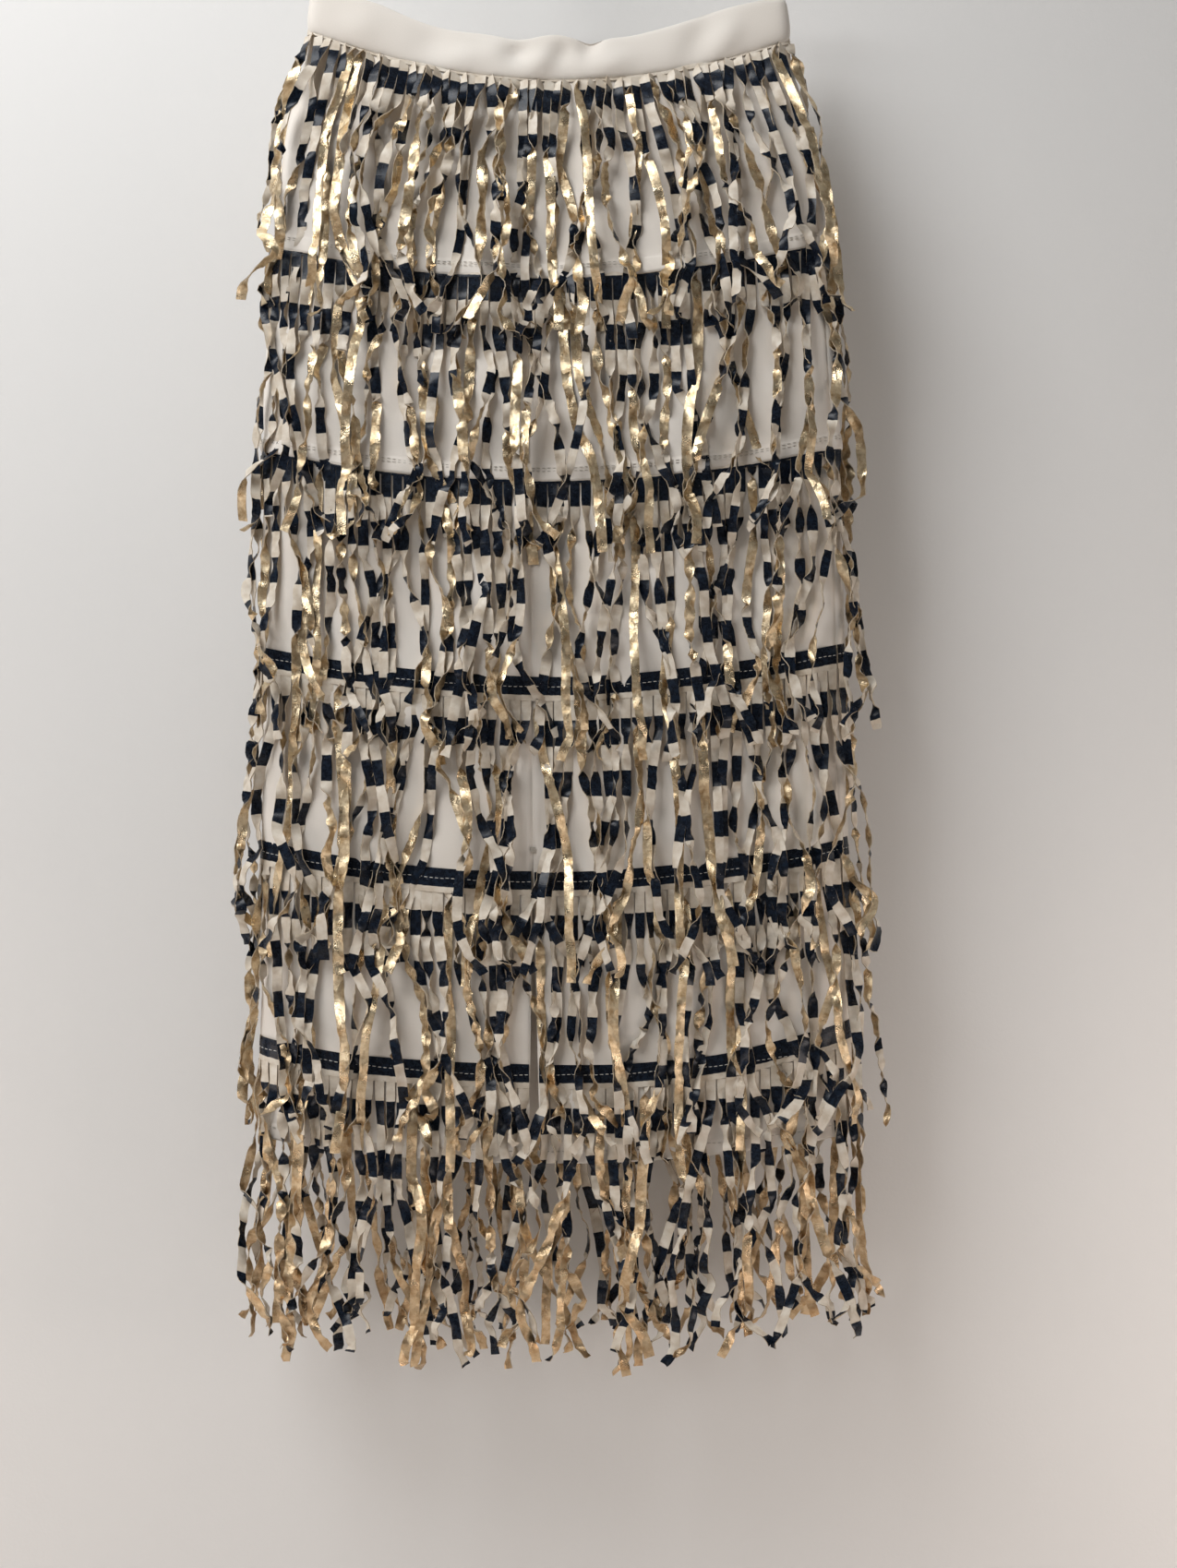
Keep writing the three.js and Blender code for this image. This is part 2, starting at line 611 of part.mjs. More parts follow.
// A ribbon loop over the bar, whose doubled tail is sewn to the inner face of the waistband's back.
function loopGeometry(x) {
  const edges = [-1, 0, 1].map((n) => Math.abs(x) + (n * LOOP.width) / 2);
  const innerFace = edges.map((edge) => {
    const turn = backTurnAt(edge, -WAISTBAND.height);
    return facetPoint(turn, -WAISTBAND.height, WAISTBAND.proud - WAISTBAND.wall).y;
  });
  const tailBack = Math.min(...innerFace) - SEAM;
  const tailFront = tailBack - 2 * LOOP.ribbon;
  const rim = WAIST_SEAM_Z + WAISTBAND.height;
  const [neck, foot] = [rim + 4, rim - LOOP.intoBand];
  const outer = LOOP.innerRadius + LOOP.ribbon;
  const ringZ = -BAR.drop + BAR.radius + SEAM - LOOP.innerRadius;

  const outline = new THREE.Shape();
  outline.moveTo(tailFront, foot);
  outline.lineTo(tailBack, foot);
  outline.lineTo(tailBack, neck);
  outline.lineTo(outer, ringZ);
  outline.absarc(0, ringZ, outer, 0, Math.PI, false);
  outline.lineTo(tailFront, neck);
  outline.closePath();
  const hole = new THREE.Path();
  hole.moveTo(LOOP.innerRadius, ringZ);
  hole.absarc(0, ringZ, LOOP.innerRadius, 0, Math.PI, false);
  hole.lineTo((tailFront + tailBack) / 2, neck + 2);
  hole.closePath();
  outline.holes.push(hole);
  const shape = new THREE.ExtrudeGeometry(outline, {
    depth: LOOP.width,
    bevelEnabled: false,
    curveSegments: 7,
  });
  // The outline's first axis becomes Y and its second Z, and its depth runs along X.
  const turned = new THREE.Matrix4().makeBasis(
    new THREE.Vector3(0, 1, 0),
    new THREE.Vector3(0, 0, 1),
    new THREE.Vector3(1, 0, 0),
  );
  return shape.applyMatrix4(turned).translate(x - LOOP.width / 2, 0, 0);
}

function hanger() {
  return [
    { name: "hanger_hook", geometry: hookGeometry(), paint: PAINT.steel },
    { name: "hanger_bar", geometry: barGeometry(), paint: PAINT.steel },
    { name: "hanger_loop_left", geometry: loopGeometry(-LOOP.x), paint: PAINT.satinRibbon },
    { name: "hanger_loop_right", geometry: loopGeometry(LOOP.x), paint: PAINT.satinRibbon },
  ];
}

// ---- The whole ----------------------------------------------------------------------------------

const skirt = new THREE.Group();
for (const piece of [...hanger(), ...waistband(), ...bodyPanels(), ...fringe()]) {
  const mesh = new THREE.Mesh(piece.geometry, new THREE.MeshStandardMaterial(piece.paint));
  mesh.name = piece.name;
  skirt.add(mesh);
}

export default skirt;
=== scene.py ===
"""A long tiered fringe skirt on a hanger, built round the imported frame.

Everything is in metres, +Z up. The shown face of the skirt looks along -Y. A place on the skirt's
body has three numbers: turn, the share of the girth from the middle of the shown face (-0.5 to 0.5,
growing towards +X), drop, how far below the waist seam it lies, and out, how far it stands off the
cloth.
"""

import logging
import math
from dataclasses import dataclass, field
from enum import Enum
from typing import Callable, Sequence

import bmesh
import bpy
import numpy as np
from mathutils import Matrix, Vector


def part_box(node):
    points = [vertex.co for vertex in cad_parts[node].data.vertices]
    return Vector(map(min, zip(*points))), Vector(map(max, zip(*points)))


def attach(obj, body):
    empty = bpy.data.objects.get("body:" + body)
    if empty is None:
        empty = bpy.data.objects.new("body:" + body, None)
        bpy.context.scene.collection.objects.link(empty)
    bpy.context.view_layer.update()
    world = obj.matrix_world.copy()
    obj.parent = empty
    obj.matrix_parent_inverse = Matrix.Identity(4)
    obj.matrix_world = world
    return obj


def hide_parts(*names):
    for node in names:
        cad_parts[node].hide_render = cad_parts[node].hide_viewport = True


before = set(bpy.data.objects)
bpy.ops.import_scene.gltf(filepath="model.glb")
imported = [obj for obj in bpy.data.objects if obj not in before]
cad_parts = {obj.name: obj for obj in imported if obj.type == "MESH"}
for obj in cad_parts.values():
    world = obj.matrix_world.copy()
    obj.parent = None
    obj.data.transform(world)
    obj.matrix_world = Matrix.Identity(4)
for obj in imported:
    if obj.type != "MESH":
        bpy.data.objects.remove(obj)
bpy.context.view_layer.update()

LOG = logging.getLogger("skirt")
MM = 0.001
Grid = np.ndarray
Draws = np.random.Generator
Piece = bpy.types.Object
Material = bpy.types.Material
Socket = bpy.types.NodeSocket
Inputs = dict[str | int, object]
Colour = tuple[float, float, float, float]

# ---- Driving sizes shared by the pieces ----------------------------------------------------------

WAISTBAND_HEIGHT = 30 * MM
SEAM_SHIFT = 15 * MM  # the garment hangs turned by this much, towards -X on the shown face
HIP_DROP, THIGH_DROP, KNEE_DROP = 153 * MM, 300 * MM, 444 * MM  # where tiers 2, 3 and 4 start
CALF_DROP, LAST_DROP = 584 * MM, 725 * MM  # where tiers 5 and 6 start
VENT_DROP = 566 * MM  # the walking slit opens below this drop
VENT_GAP = 8 * MM  # how wide the slit stands open at the hem
HEM_DROP = 793 * MM
BODY_BEND = 6.5 * MM  # least radius of the body where it folds round at the sides
MEAN_GIRTH = 0.84  # makes a length of a turn where waves and grain need no closer girth
WAIST_GIRTH = 0.72  # the same for the waistband
BAR_RADIUS = 4 * MM
LOOPS = ("hanger_loop_left", "hanger_loop_right")
BLOCK = 18.6 * MM  # one block of the fringe's two colours
WAVE_SPACING = 2 / 6.283  # about how far apart the bands of a wave texture of scale 1 lie


class Face(Enum):
    """The two faces of the hanging skirt."""

    FRONT = -1
    BACK = 1


class Side(Enum):
    """The stretch of the girth that a piece covers, from one seam to the next."""

    FRONT = "front"
    FRONT_LEFT = "front_left"
    FRONT_RIGHT = "front_right"
    BACK = "back"


# ---- Sums ----------------------------------------------------------------------------------------


def smoothstep(low: float, high: float, value: Grid) -> Grid:
    """Rises smoothly from 0 at low to 1 at high."""
    s = np.clip((np.asarray(value, float) - low) / (high - low), 0.0, 1.0)
    return s * s * (3 - 2 * s)


def bump(distance: Grid, breadth: Grid) -> Grid:
    """A soft hill of height 1 that falls away over its breadth."""
    return np.exp(-((np.asarray(distance) / breadth) ** 2))


def between(places: Sequence[float], values: Sequence[float], at: Grid) -> Grid:
    """A smooth curve through values at places that never passes its neighbours.

    Args:
        places: Growing places.
        values: The value at each place.
        at: Where the curve is wanted.

    Returns:
        The curve's values, held level beyond both ends.
    """
    p, v = np.asarray(places, float), np.asarray(values, float)
    slope = np.diff(v) / np.diff(p)
    tangent = np.empty_like(v)
    tangent[0], tangent[-1] = slope[0], slope[-1]
    product = slope[:-1] * slope[1:]
    total = np.where(product > 0, slope[:-1] + slope[1:], 1.0)
    tangent[1:-1] = np.where(product > 0, 2 * product / total, 0.0)
    x = np.clip(np.asarray(at, float), p[0], p[-1])
    i = np.clip(np.searchsorted(p, x, side="right") - 1, 0, len(p) - 2)
    span = p[i + 1] - p[i]
    s = (x - p[i]) / span
    rise = s * s * (3 - 2 * s)
    bend = (1 - s) * tangent[i] - s * tangent[i + 1]
    return v[i] * (1 - rise) + v[i + 1] * rise + span * s * (1 - s) * bend


def unit(vectors: Grid) -> Grid:
    """The vectors at length 1."""
    return vectors / np.maximum(np.linalg.norm(vectors, axis=-1, keepdims=True), 1e-12)


# ---- The body's surface --------------------------------------------------------------------------


@dataclass(frozen=True)
class Ring:
    """A level ring of the body: its half sizes, its middle's sag and how flat its faces lie."""

    drop: float
    half_width: float
    half_depth: float
    sag: float
    flatness: float


@dataclass(frozen=True)
class Fold:
    """A soft fold down a face. at and breadth are shares of the half width, from the middle."""

    at: float
    breadth: float
    height: float
    start: float
    end: float


def fold(at: float, breadth: float, height: float, start: float, end: float) -> Fold:
    """A fold with its height and its drops given in millimetres."""
    return Fold(at, breadth, height * MM, start * MM, end * MM)


@dataclass
class Body:
    """The hanging form that every cloth panel and fringe band follows."""

    rings: tuple[Ring, ...] = (
        Ring(-WAISTBAND_HEIGHT, 173 * MM, 9.5 * MM, 33 * MM, 4.0),
        Ring(0 * MM, 174 * MM, 10.5 * MM, 33 * MM, 4.0),
        Ring(70 * MM, 191 * MM, 15 * MM, 29 * MM, 3.4),
        Ring(HIP_DROP, 202 * MM, 20 * MM, 26 * MM, 3.0),
        Ring(THIGH_DROP, 209 * MM, 25 * MM, 25 * MM, 2.7),
        Ring(CALF_DROP, 212 * MM, 29 * MM, 23 * MM, 2.5),
        Ring(HEM_DROP, 214 * MM, 33 * MM, 17 * MM, 2.4),
        Ring(945 * MM, 214 * MM, 34 * MM, 15 * MM, 2.4),
    )
    front_folds: tuple[Fold, ...] = (
        fold(-0.85, 0.08, 2.2, 40, 420),
        fold(-0.67, 0.09, 2.8, 60, 793),
        fold(-0.43, 0.09, -2.0, 90, 700),
        fold(-0.21, 0.09, 2.8, 30, 520),
        fold(0.0, 0.08, -2.2, 20, 640),
        fold(0.2, 0.09, 2.6, 60, 793),
        fold(0.45, 0.1, 3.2, 70, 640),
        fold(0.63, 0.08, -1.8, 200, 793),
        fold(0.83, 0.08, 2.4, 50, 793),
    )
    back_folds: tuple[Fold, ...] = (
        fold(-0.78, 0.1, 2.2, 60, 600),
        fold(-0.5, 0.12, 2.6, 40, 793),
        fold(-0.2, 0.12, -2.2, 90, 700),
        fold(0.12, 0.12, 2.8, 30, 793),
        fold(0.42, 0.11, -1.8, 150, 620),
        fold(0.74, 0.1, 2.4, 60, 793),
    )
    fold_fade: float = 60 * MM
    waist_tilt: float = 4.5 * MM  # the waist hangs lower towards +X by this much at its corner
    tilt_fade: tuple[float, float] = (20 * MM, 130 * MM)
    waist_z: float = -127 * MM
    above: float = 10 * MM  # how far the tables reach above the first ring
    below: float = 20 * MM  # and below the last
    rows: int = 240
    columns: int = 240
    steps: int = 240
    tables: dict[str, Grid] = field(default_factory=dict)

    def __post_init__(self) -> None:
        """Works out the quarter ring at every drop once."""
        first, last = self.rings[0].drop - self.above, self.rings[-1].drop + self.below
        drops = np.linspace(first, last, self.rows)
        shares = np.linspace(0, 1, self.columns)
        names = ("x", "y", "nx", "ny")
        table = {name: np.empty((self.rows, self.columns)) for name in names}
        quarter = np.empty(self.rows)
        for row, drop in enumerate(drops):
            places, normals, runs = self._quarter(float(drop))
            quarter[row] = runs[-1]
            for name, values in zip(names, (*places.T, *normals.T)):
                table[name][row] = np.interp(shares * runs[-1], runs, values)
        self.tables = {**table, "drops": drops, "quarter": quarter}

    def _column(self, name: str, drop: Grid) -> Grid:
        """A ring size at any drop."""
        return between([r.drop for r in self.rings], [getattr(r, name) for r in self.rings], drop)

    def _quarter(self, drop: float) -> tuple[Grid, Grid, Grid]:
        """The quarter ring at a drop.

        Args:
            drop: How far below the waist seam.

        Returns:
            Its points and level normals from a face's middle to the side, and the length so far.
        """
        width = float(self._column("half_width", drop)) - BODY_BEND
        depth = float(self._column("half_depth", drop)) - BODY_BEND
        power = 2 / float(self._column("flatness", drop))
        angle = np.linspace(0, math.pi / 2, self.steps + 1)
        spine = np.stack(
            [width * np.sin(angle) ** power, depth * np.clip(np.cos(angle), 0, 1) ** power], axis=1
        )
        before, after = spine[1] * [-1, 1], spine[-2] * [1, -1]
        longer = np.vstack([before, spine, after])
        run = longer[2:] - longer[:-2]
        normal = unit(np.stack([-run[:, 1], run[:, 0]], axis=1))
        grown = spine + normal * BODY_BEND
        steps = np.linalg.norm(np.diff(grown, axis=0), axis=1)
        return grown, normal, np.concatenate([[0], np.cumsum(steps)])

    def girth(self, drop: Grid) -> Grid:
        """The whole girth at a drop."""
        return 4 * np.interp(drop, self.tables["drops"], self.tables["quarter"])

    def turns(self, length: Grid, drop: Grid) -> Grid:
        """A length round the body, as a share of the girth at that drop."""
        return length / self.girth(drop)

    def _fold_height(self, folds: Sequence[Fold], share: Grid, drop: Grid) -> Grid:
        """How far the folds of one face lift the cloth."""
        total = np.zeros_like(share)
        for f in folds:
            grown = smoothstep(f.start - self.fold_fade, f.start + self.fold_fade, drop)
            died = smoothstep(f.end - self.fold_fade, f.end + self.fold_fade, drop)
            alive = 1 if f.end >= HEM_DROP else 1 - died
            total += f.height * bump(share - f.at, f.breadth) * grown * alive
        return total

    def place(self, turn: Grid, drop: Grid, out: Grid = 0.0) -> tuple[Grid, Grid]:
        """Points on or off the body.

        Args:
            turn: Shares of the girth from the middle of the shown face.
            drop: How far below the waist seam.
            out: How far outside the cloth's outer face.

        Returns:
            The points and the level outward normals there.
        """
        turn, drop, out = np.broadcast_arrays(*(np.asarray(v, float) for v in (turn, drop, out)))
        wrapped = turn - np.round(turn)
        side = np.where(wrapped < 0, -1.0, 1.0)
        quarter = 4 * np.abs(wrapped)
        front = quarter <= 1
        facing = np.where(front, Face.FRONT.value, Face.BACK.value)
        share = np.where(front, quarter, 2 - quarter)
        t = self.tables
        r = np.interp(drop, t["drops"], np.arange(self.rows))
        c = share * (self.columns - 1)
        r0 = np.clip(r.astype(int), 0, self.rows - 2)
        c0 = np.clip(c.astype(int), 0, self.columns - 2)
        fr, fc = r - r0, c - c0

        def look(name: str) -> Grid:
            """The table's value at every point."""
            a = t[name]
            upper = a[r0, c0] * (1 - fc) + a[r0, c0 + 1] * fc
            lower = a[r0 + 1, c0] * (1 - fc) + a[r0 + 1, c0 + 1] * fc
            return upper * (1 - fr) + lower * fr

        x, y = look("x"), look("y")
        normal = unit(np.stack([side * look("nx"), facing * look("ny"), np.zeros_like(x)], axis=-1))
        across = np.minimum(1, x / self._column("half_width", drop))
        z = self.waist_z - drop - self._column("sag", drop) * (1 - across**2)
        z = z - self.waist_tilt * side * across * (1 - smoothstep(*self.tilt_fade, drop))
        signed = side * share
        lift = np.where(
            front,
            self._fold_height(self.front_folds, signed, drop),
            self._fold_height(self.back_folds, signed, drop),
        )
        point = np.stack([side * x, facing * y, z], axis=-1)
        return point + normal * (out + lift)[..., None], normal


@dataclass(frozen=True)
class Edge:
    """A seam line down the body. home is its turn on a skirt that hangs square."""

    home: float
    gap: float = 0.0

    def turn(self, body: Body, drop: Grid) -> Grid:
        """Where the seam lies at a drop."""
        return self.home - body.turns(SEAM_SHIFT, drop)

    def half_gap(self, body: Body, drop: Grid) -> Grid:
        """Half of how far the seam stands open at a drop."""
        opened = np.clip((np.asarray(drop) - VENT_DROP) / (HEM_DROP - VENT_DROP), 0, None)
        return body.turns(self.gap * opened / 2, drop)


LEFT_SEAM, MIDDLE_SEAM, RIGHT_SEAM = Edge(-0.25), Edge(0.0, VENT_GAP), Edge(0.25)
LEFT_SEAM_AGAIN = Edge(0.75)
SIDE_EDGES: dict[Side, tuple[Edge, Edge]] = {
    Side.FRONT: (LEFT_SEAM, RIGHT_SEAM),
    Side.FRONT_LEFT: (LEFT_SEAM, MIDDLE_SEAM),
    Side.FRONT_RIGHT: (MIDDLE_SEAM, RIGHT_SEAM),
    Side.BACK: (RIGHT_SEAM, LEFT_SEAM_AGAIN),
}
CUT_SIDES = (Side.FRONT_LEFT, Side.FRONT_RIGHT, Side.BACK)  # where the front is cut in two


def side_span(side: Side, body: Body, drop: Grid, margin: float = 0.0) -> tuple[Grid, Grid]:
    """The turns where a side of the skirt starts and ends at a drop, less a margin at both ends."""
    start, end = SIDE_EDGES[side]
    first = start.turn(body, drop) + start.half_gap(body, drop) + margin
    last = end.turn(body, drop) - end.half_gap(body, drop) - margin
    return first, last


# ---- Making meshes -------------------------------------------------------------------------------


def link_new(name: str, data: bpy.types.ID) -> Piece:
    """Puts an object with this data at the origin."""
    made = bpy.data.objects.new(name, data)
    bpy.context.scene.collection.objects.link(made)
    return made


def new_object(name: str, bm: bmesh.types.BMesh) -> Piece:
    """Turns a bmesh into an object at the origin and frees it."""
    mesh = bpy.data.meshes.new(name)
    bm.to_mesh(mesh)
    bm.free()
    return link_new(name, mesh)


def lattice(columns: int, rows: int, copies: int = 1) -> bmesh.types.BMesh:
    """Flat grids of quads on top of each other, each from -0.5 to 0.5 both ways.

    Args:
        columns: Faces across each grid.
        rows: Faces down each grid.
        copies: How many grids.

    Returns:
        The bmesh, with the grids' vertices one grid after another.
    """
    bm = bmesh.new()
    for _ in range(copies):
        bmesh.ops.create_grid(bm, x_segments=columns, y_segments=rows, size=0.5)
    return bm


def read_points(made: Piece) -> Grid:
    """The object's vertices, one row each."""
    flat = np.empty(len(made.data.vertices) * 3, np.float32)
    made.data.vertices.foreach_get("co", flat)
    return flat.reshape(-1, 3).astype(float)


def write_points(made: Piece, points: Grid) -> None:
    """Moves the object's vertices."""
    made.data.vertices.foreach_set("co", points.astype(np.float32).ravel())
    made.data.update()


def write_uv(made: Piece, uv: Grid) -> None:
    """Gives the mesh a UV map with one place for each vertex."""
    layer = made.data.uv_layers.new(name="Cut")
    corners = np.empty(len(made.data.loops), np.int32)
    made.data.loops.foreach_get("vertex_index", corners)
    layer.data.foreach_set("uv", uv[corners].astype(np.float32).ravel())


def apply_modifiers(made: Piece) -> None:
    """Replaces the mesh by what its modifiers make of it."""
    graph = bpy.context.evaluated_depsgraph_get()
    done = bpy.data.meshes.new_from_object(made.evaluated_get(graph))
    old = made.data
    made.modifiers.clear()
    made.data = done
    bpy.data.meshes.remove(old)
    done.name = made.name


def shade(made: Piece, degrees: float) -> None:
    """Shades the piece smooth, apart from edges sharper than the angle."""
    made.data.shade_smooth()
    made.data.set_sharp_from_angle(angle=math.radians(degrees))


def thicken(made: Piece, thickness: float, offset: float, back: int = 0, rim: int = 0) -> None:
    """Gives a sheet its thickness.

    Args:
        made: The sheet, with outward faces.
        thickness: The cloth's or leather's thickness.
        offset: -1 keeps the outer face where it is, 0 keeps the middle.
        back: How many slots further the reverse takes its material.
        rim: How many slots further the cut edges take theirs.
    """
    wall = made.modifiers.new("Thickness", "SOLIDIFY")
    wall.thickness = thickness
    wall.offset = offset
    wall.material_offset = back
    wall.material_offset_rim = rim
    apply_modifiers(made)


def sheet_of(
    name: str,
    columns: Grid,
    rows: Grid,
    shape: Callable[[Grid, Grid], Grid],
    cut: Callable[[Grid, Grid], Grid],
) -> Piece:
    """A sheet on a lattice of columns and rows.

    Args:
        name: The piece's name.
        columns: The value of each column.
        rows: The value of each row, from the top down.
        shape: Gives the points for arrays of column and row values.
        cut: Gives the places on the flat cut, in metres, for the same arrays.

    Returns:
        The sheet. Its faces look outwards where columns grow to the right and rows downwards.
    """
    made = new_object(name, lattice(len(columns) - 1, len(rows) - 1))
    at = read_points(made)
    i = np.rint((at[:, 0] + 0.5) * (len(columns) - 1)).astype(int)
    j = np.rint((0.5 - at[:, 1]) * (len(rows) - 1)).astype(int)
    across, down = np.asarray(columns)[i], np.asarray(rows)[j]
    write_points(made, shape(across, down))
    write_uv(made, cut(across, down))
    return made


def declare(made: Piece, slot: str, *materials: Material, node: str | None = None) -> None:
    """Gives a piece its materials, hangs it under the root and hides its frame node, if any.

    Args:
        made: The piece.
        slot: Not used.
        materials: The piece's materials, in their order.
        node: The frame's node that it stands for, if any.
    """
    for material in materials:
        made.data.materials.append(material)
    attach(made, "root")
    if node is not None:
        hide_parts(node)


def add_bead(
    bm: bmesh.types.BMesh,
    centre: Grid,
    along: Vector,
    outward: Vector,
    size: Sequence[float],
    faces: Sequence[int],
) -> None:
    """Adds a flattened bead of thread.

    Args:
        bm: The mesh that gets it.
        centre: Its middle.
        along: The direction of its length.
        outward: The direction off the cloth.
        size: Half its length, breadth and height.
        faces: How many faces it has round its length and from end to end.
    """
    turned = Matrix((along, outward.cross(along), outward)).transposed().to_4x4()
    place = Matrix.Translation(centre) @ turned @ Matrix.Diagonal((*size, 1))
    bmesh.ops.create_uvsphere(bm, u_segments=faces[0], v_segments=faces[1], radius=1, matrix=place)


def finish_beads(name: str, bm: bmesh.types.BMesh) -> Piece:
    """Turns the beads into one smooth piece."""
    bmesh.ops.recalc_face_normals(bm, faces=bm.faces)
    made = new_object(name, bm)
    shade(made, 60)
    return made


# ---- Finishes ------------------------------------------------------------------------------------


class Nodes:
    """A material's nodes, made and linked in short calls."""

    def __init__(self, name: str) -> None:
        """Starts a material with a Principled shader."""
        self.material = bpy.data.materials.new(name)
        self.material.use_nodes = True
        self.tree = self.material.node_tree
        self.shader = self.tree.nodes["Principled BSDF"]

    def add(self, kind: str, inputs: Inputs | None = None, **settings: object) -> bpy.types.Node:
        """Adds a node.

        Args:
            kind: The node's type.
            inputs: Values or sockets for its inputs.
            settings: The node's own settings.

        Returns:
            The node.
        """
        node = self.tree.nodes.new(kind)
        for key, value in settings.items():
            setattr(node, key, value)
        for key, value in (inputs or {}).items():
            self.put(node.inputs[key], value)
        return node

    def put(self, socket: Socket, value: object) -> None:
        """Sets an input to a value or links it to a socket."""
        if isinstance(value, Socket):
            self.tree.links.new(value, socket)
        else:
            socket.default_value = value

    def finish(self, **inputs: object) -> Material:
        """Sets the shader's inputs, named with underscores for spaces, and gives the material."""
        for key, value in inputs.items():
            self.put(self.shader.inputs[key.replace("_", " ")], value)
        return self.material

    def sum(self, operation: str, a: object, b: object = 0.0) -> Socket:
        """A sum of one or two numbers."""
        return self.add("ShaderNodeMath", {0: a, 1: b}, operation=operation).outputs[0]

    def plus(self, a: object, b: object) -> Socket:
        """Two numbers added."""
        return self.sum("ADD", a, b)

    def times(self, a: object, b: object) -> Socket:
        """Two numbers multiplied."""
        return self.sum("MULTIPLY", a, b)

    def vectors(self, operation: str, a: object, b: object) -> bpy.types.Node:
        """A sum of two vectors."""
        return self.add("ShaderNodeVectorMath", {0: a, 1: b}, operation=operation)

    def mix(self, factor: object, first: object, second: object) -> Socket:
        """Blends two colours."""
        node = self.add("ShaderNodeMix", data_type="RGBA")
        self.put(node.inputs[0], factor)
        self.put(node.inputs[6], first)
        self.put(node.inputs[7], second)
        return node.outputs[2]

    def spread(
        self, value: object, low: float, high: float, to_low: float = 0.0, to_high: float = 1.0
    ) -> Socket:
        """Maps a range of numbers onto another, held at both ends."""
        inputs = {0: value, 1: low, 2: high, 3: to_low, 4: to_high}
        return self.add("ShaderNodeMapRange", inputs).outputs[0]

    def noise(self, place: object, scale: float, detail: float = 2.0, rough: float = 0.5) -> Socket:
        """Cloudy noise, from about 0 to 1."""
        inputs = {"Vector": place, "Scale": scale, "Detail": detail, "Roughness": rough}
        return self.add("ShaderNodeTexNoise", inputs).outputs["Fac"]

    def stretched(self, place: object, scale: tuple[float, float, float]) -> Socket:
        """The same place on a pattern that is drawn out along its axes."""
        return self.add("ShaderNodeMapping", {"Vector": place, "Scale": scale}).outputs[0]

    def bump(self, height: object, distance: float, strength: float = 1.0) -> Socket:
        """Small relief."""
        inputs = {"Height": height, "Distance": distance, "Strength": strength}
        return self.add("ShaderNodeBump", inputs).outputs[0]

    def cut(self) -> Socket:
        """The place on the flat cut, in metres."""
        return self.add("ShaderNodeUVMap", uv_map="Cut").outputs[0]

    def object_place(self) -> Socket:
        """The place in the object's own coordinates."""
        return self.add("ShaderNodeTexCoord").outputs["Object"]


def rgba(red: float, green: float, blue: float) -> Colour:
    """An opaque colour."""
    return (red, green, blue, 1.0)


@dataclass(frozen=True)
class Crepe:
    """Matte ivory crepe with a fine pebbled grain and a faint weave."""

    name: str = "ivory_crepe"
    light: Colour = rgba(0.81, 0.765, 0.705)
    deep: Colour = rgba(0.70, 0.645, 0.58)
    thread: float = 0.45 * MM
    roughness: float = 0.82
    sheen: float = 0.18
    sheen_roughness: float = 0.5
    clouds: float = 9.0  # how many broad clouds of tone there are to the metre
    grain_tone: float = 0.35
    weave: float = 0.4
    relief: float = 0.12 * MM

    def material(self) -> Material:
        """Builds the cloth's material."""
        n = Nodes(self.name)
        place = n.cut()
        broad = n.noise(n.object_place(), self.clouds, 3.0)
        grain = n.noise(place, 1 / (1.6 * self.thread), 3.0, 0.65)
        scale = WAVE_SPACING / self.thread
        inputs = {"Vector": place, "Scale": scale, "Distortion": 1.2, "Detail": 1.0}
        ways = (n.add("ShaderNodeTexWave", inputs, bands_direction=way) for way in ("X", "Y"))
        warp, weft = (way.outputs["Fac"] for way in ways)
        height = n.plus(n.times(n.times(warp, weft), self.weave), grain)
        tone = n.spread(n.plus(broad, n.times(grain, self.grain_tone)), 0.45, 0.95)
        return n.finish(
            Base_Color=n.mix(tone, self.deep, self.light),
            Roughness=self.roughness,
            Sheen_Weight=self.sheen,
            Sheen_Roughness=self.sheen_roughness,
            Normal=n.bump(height, self.relief, 0.55),
        )


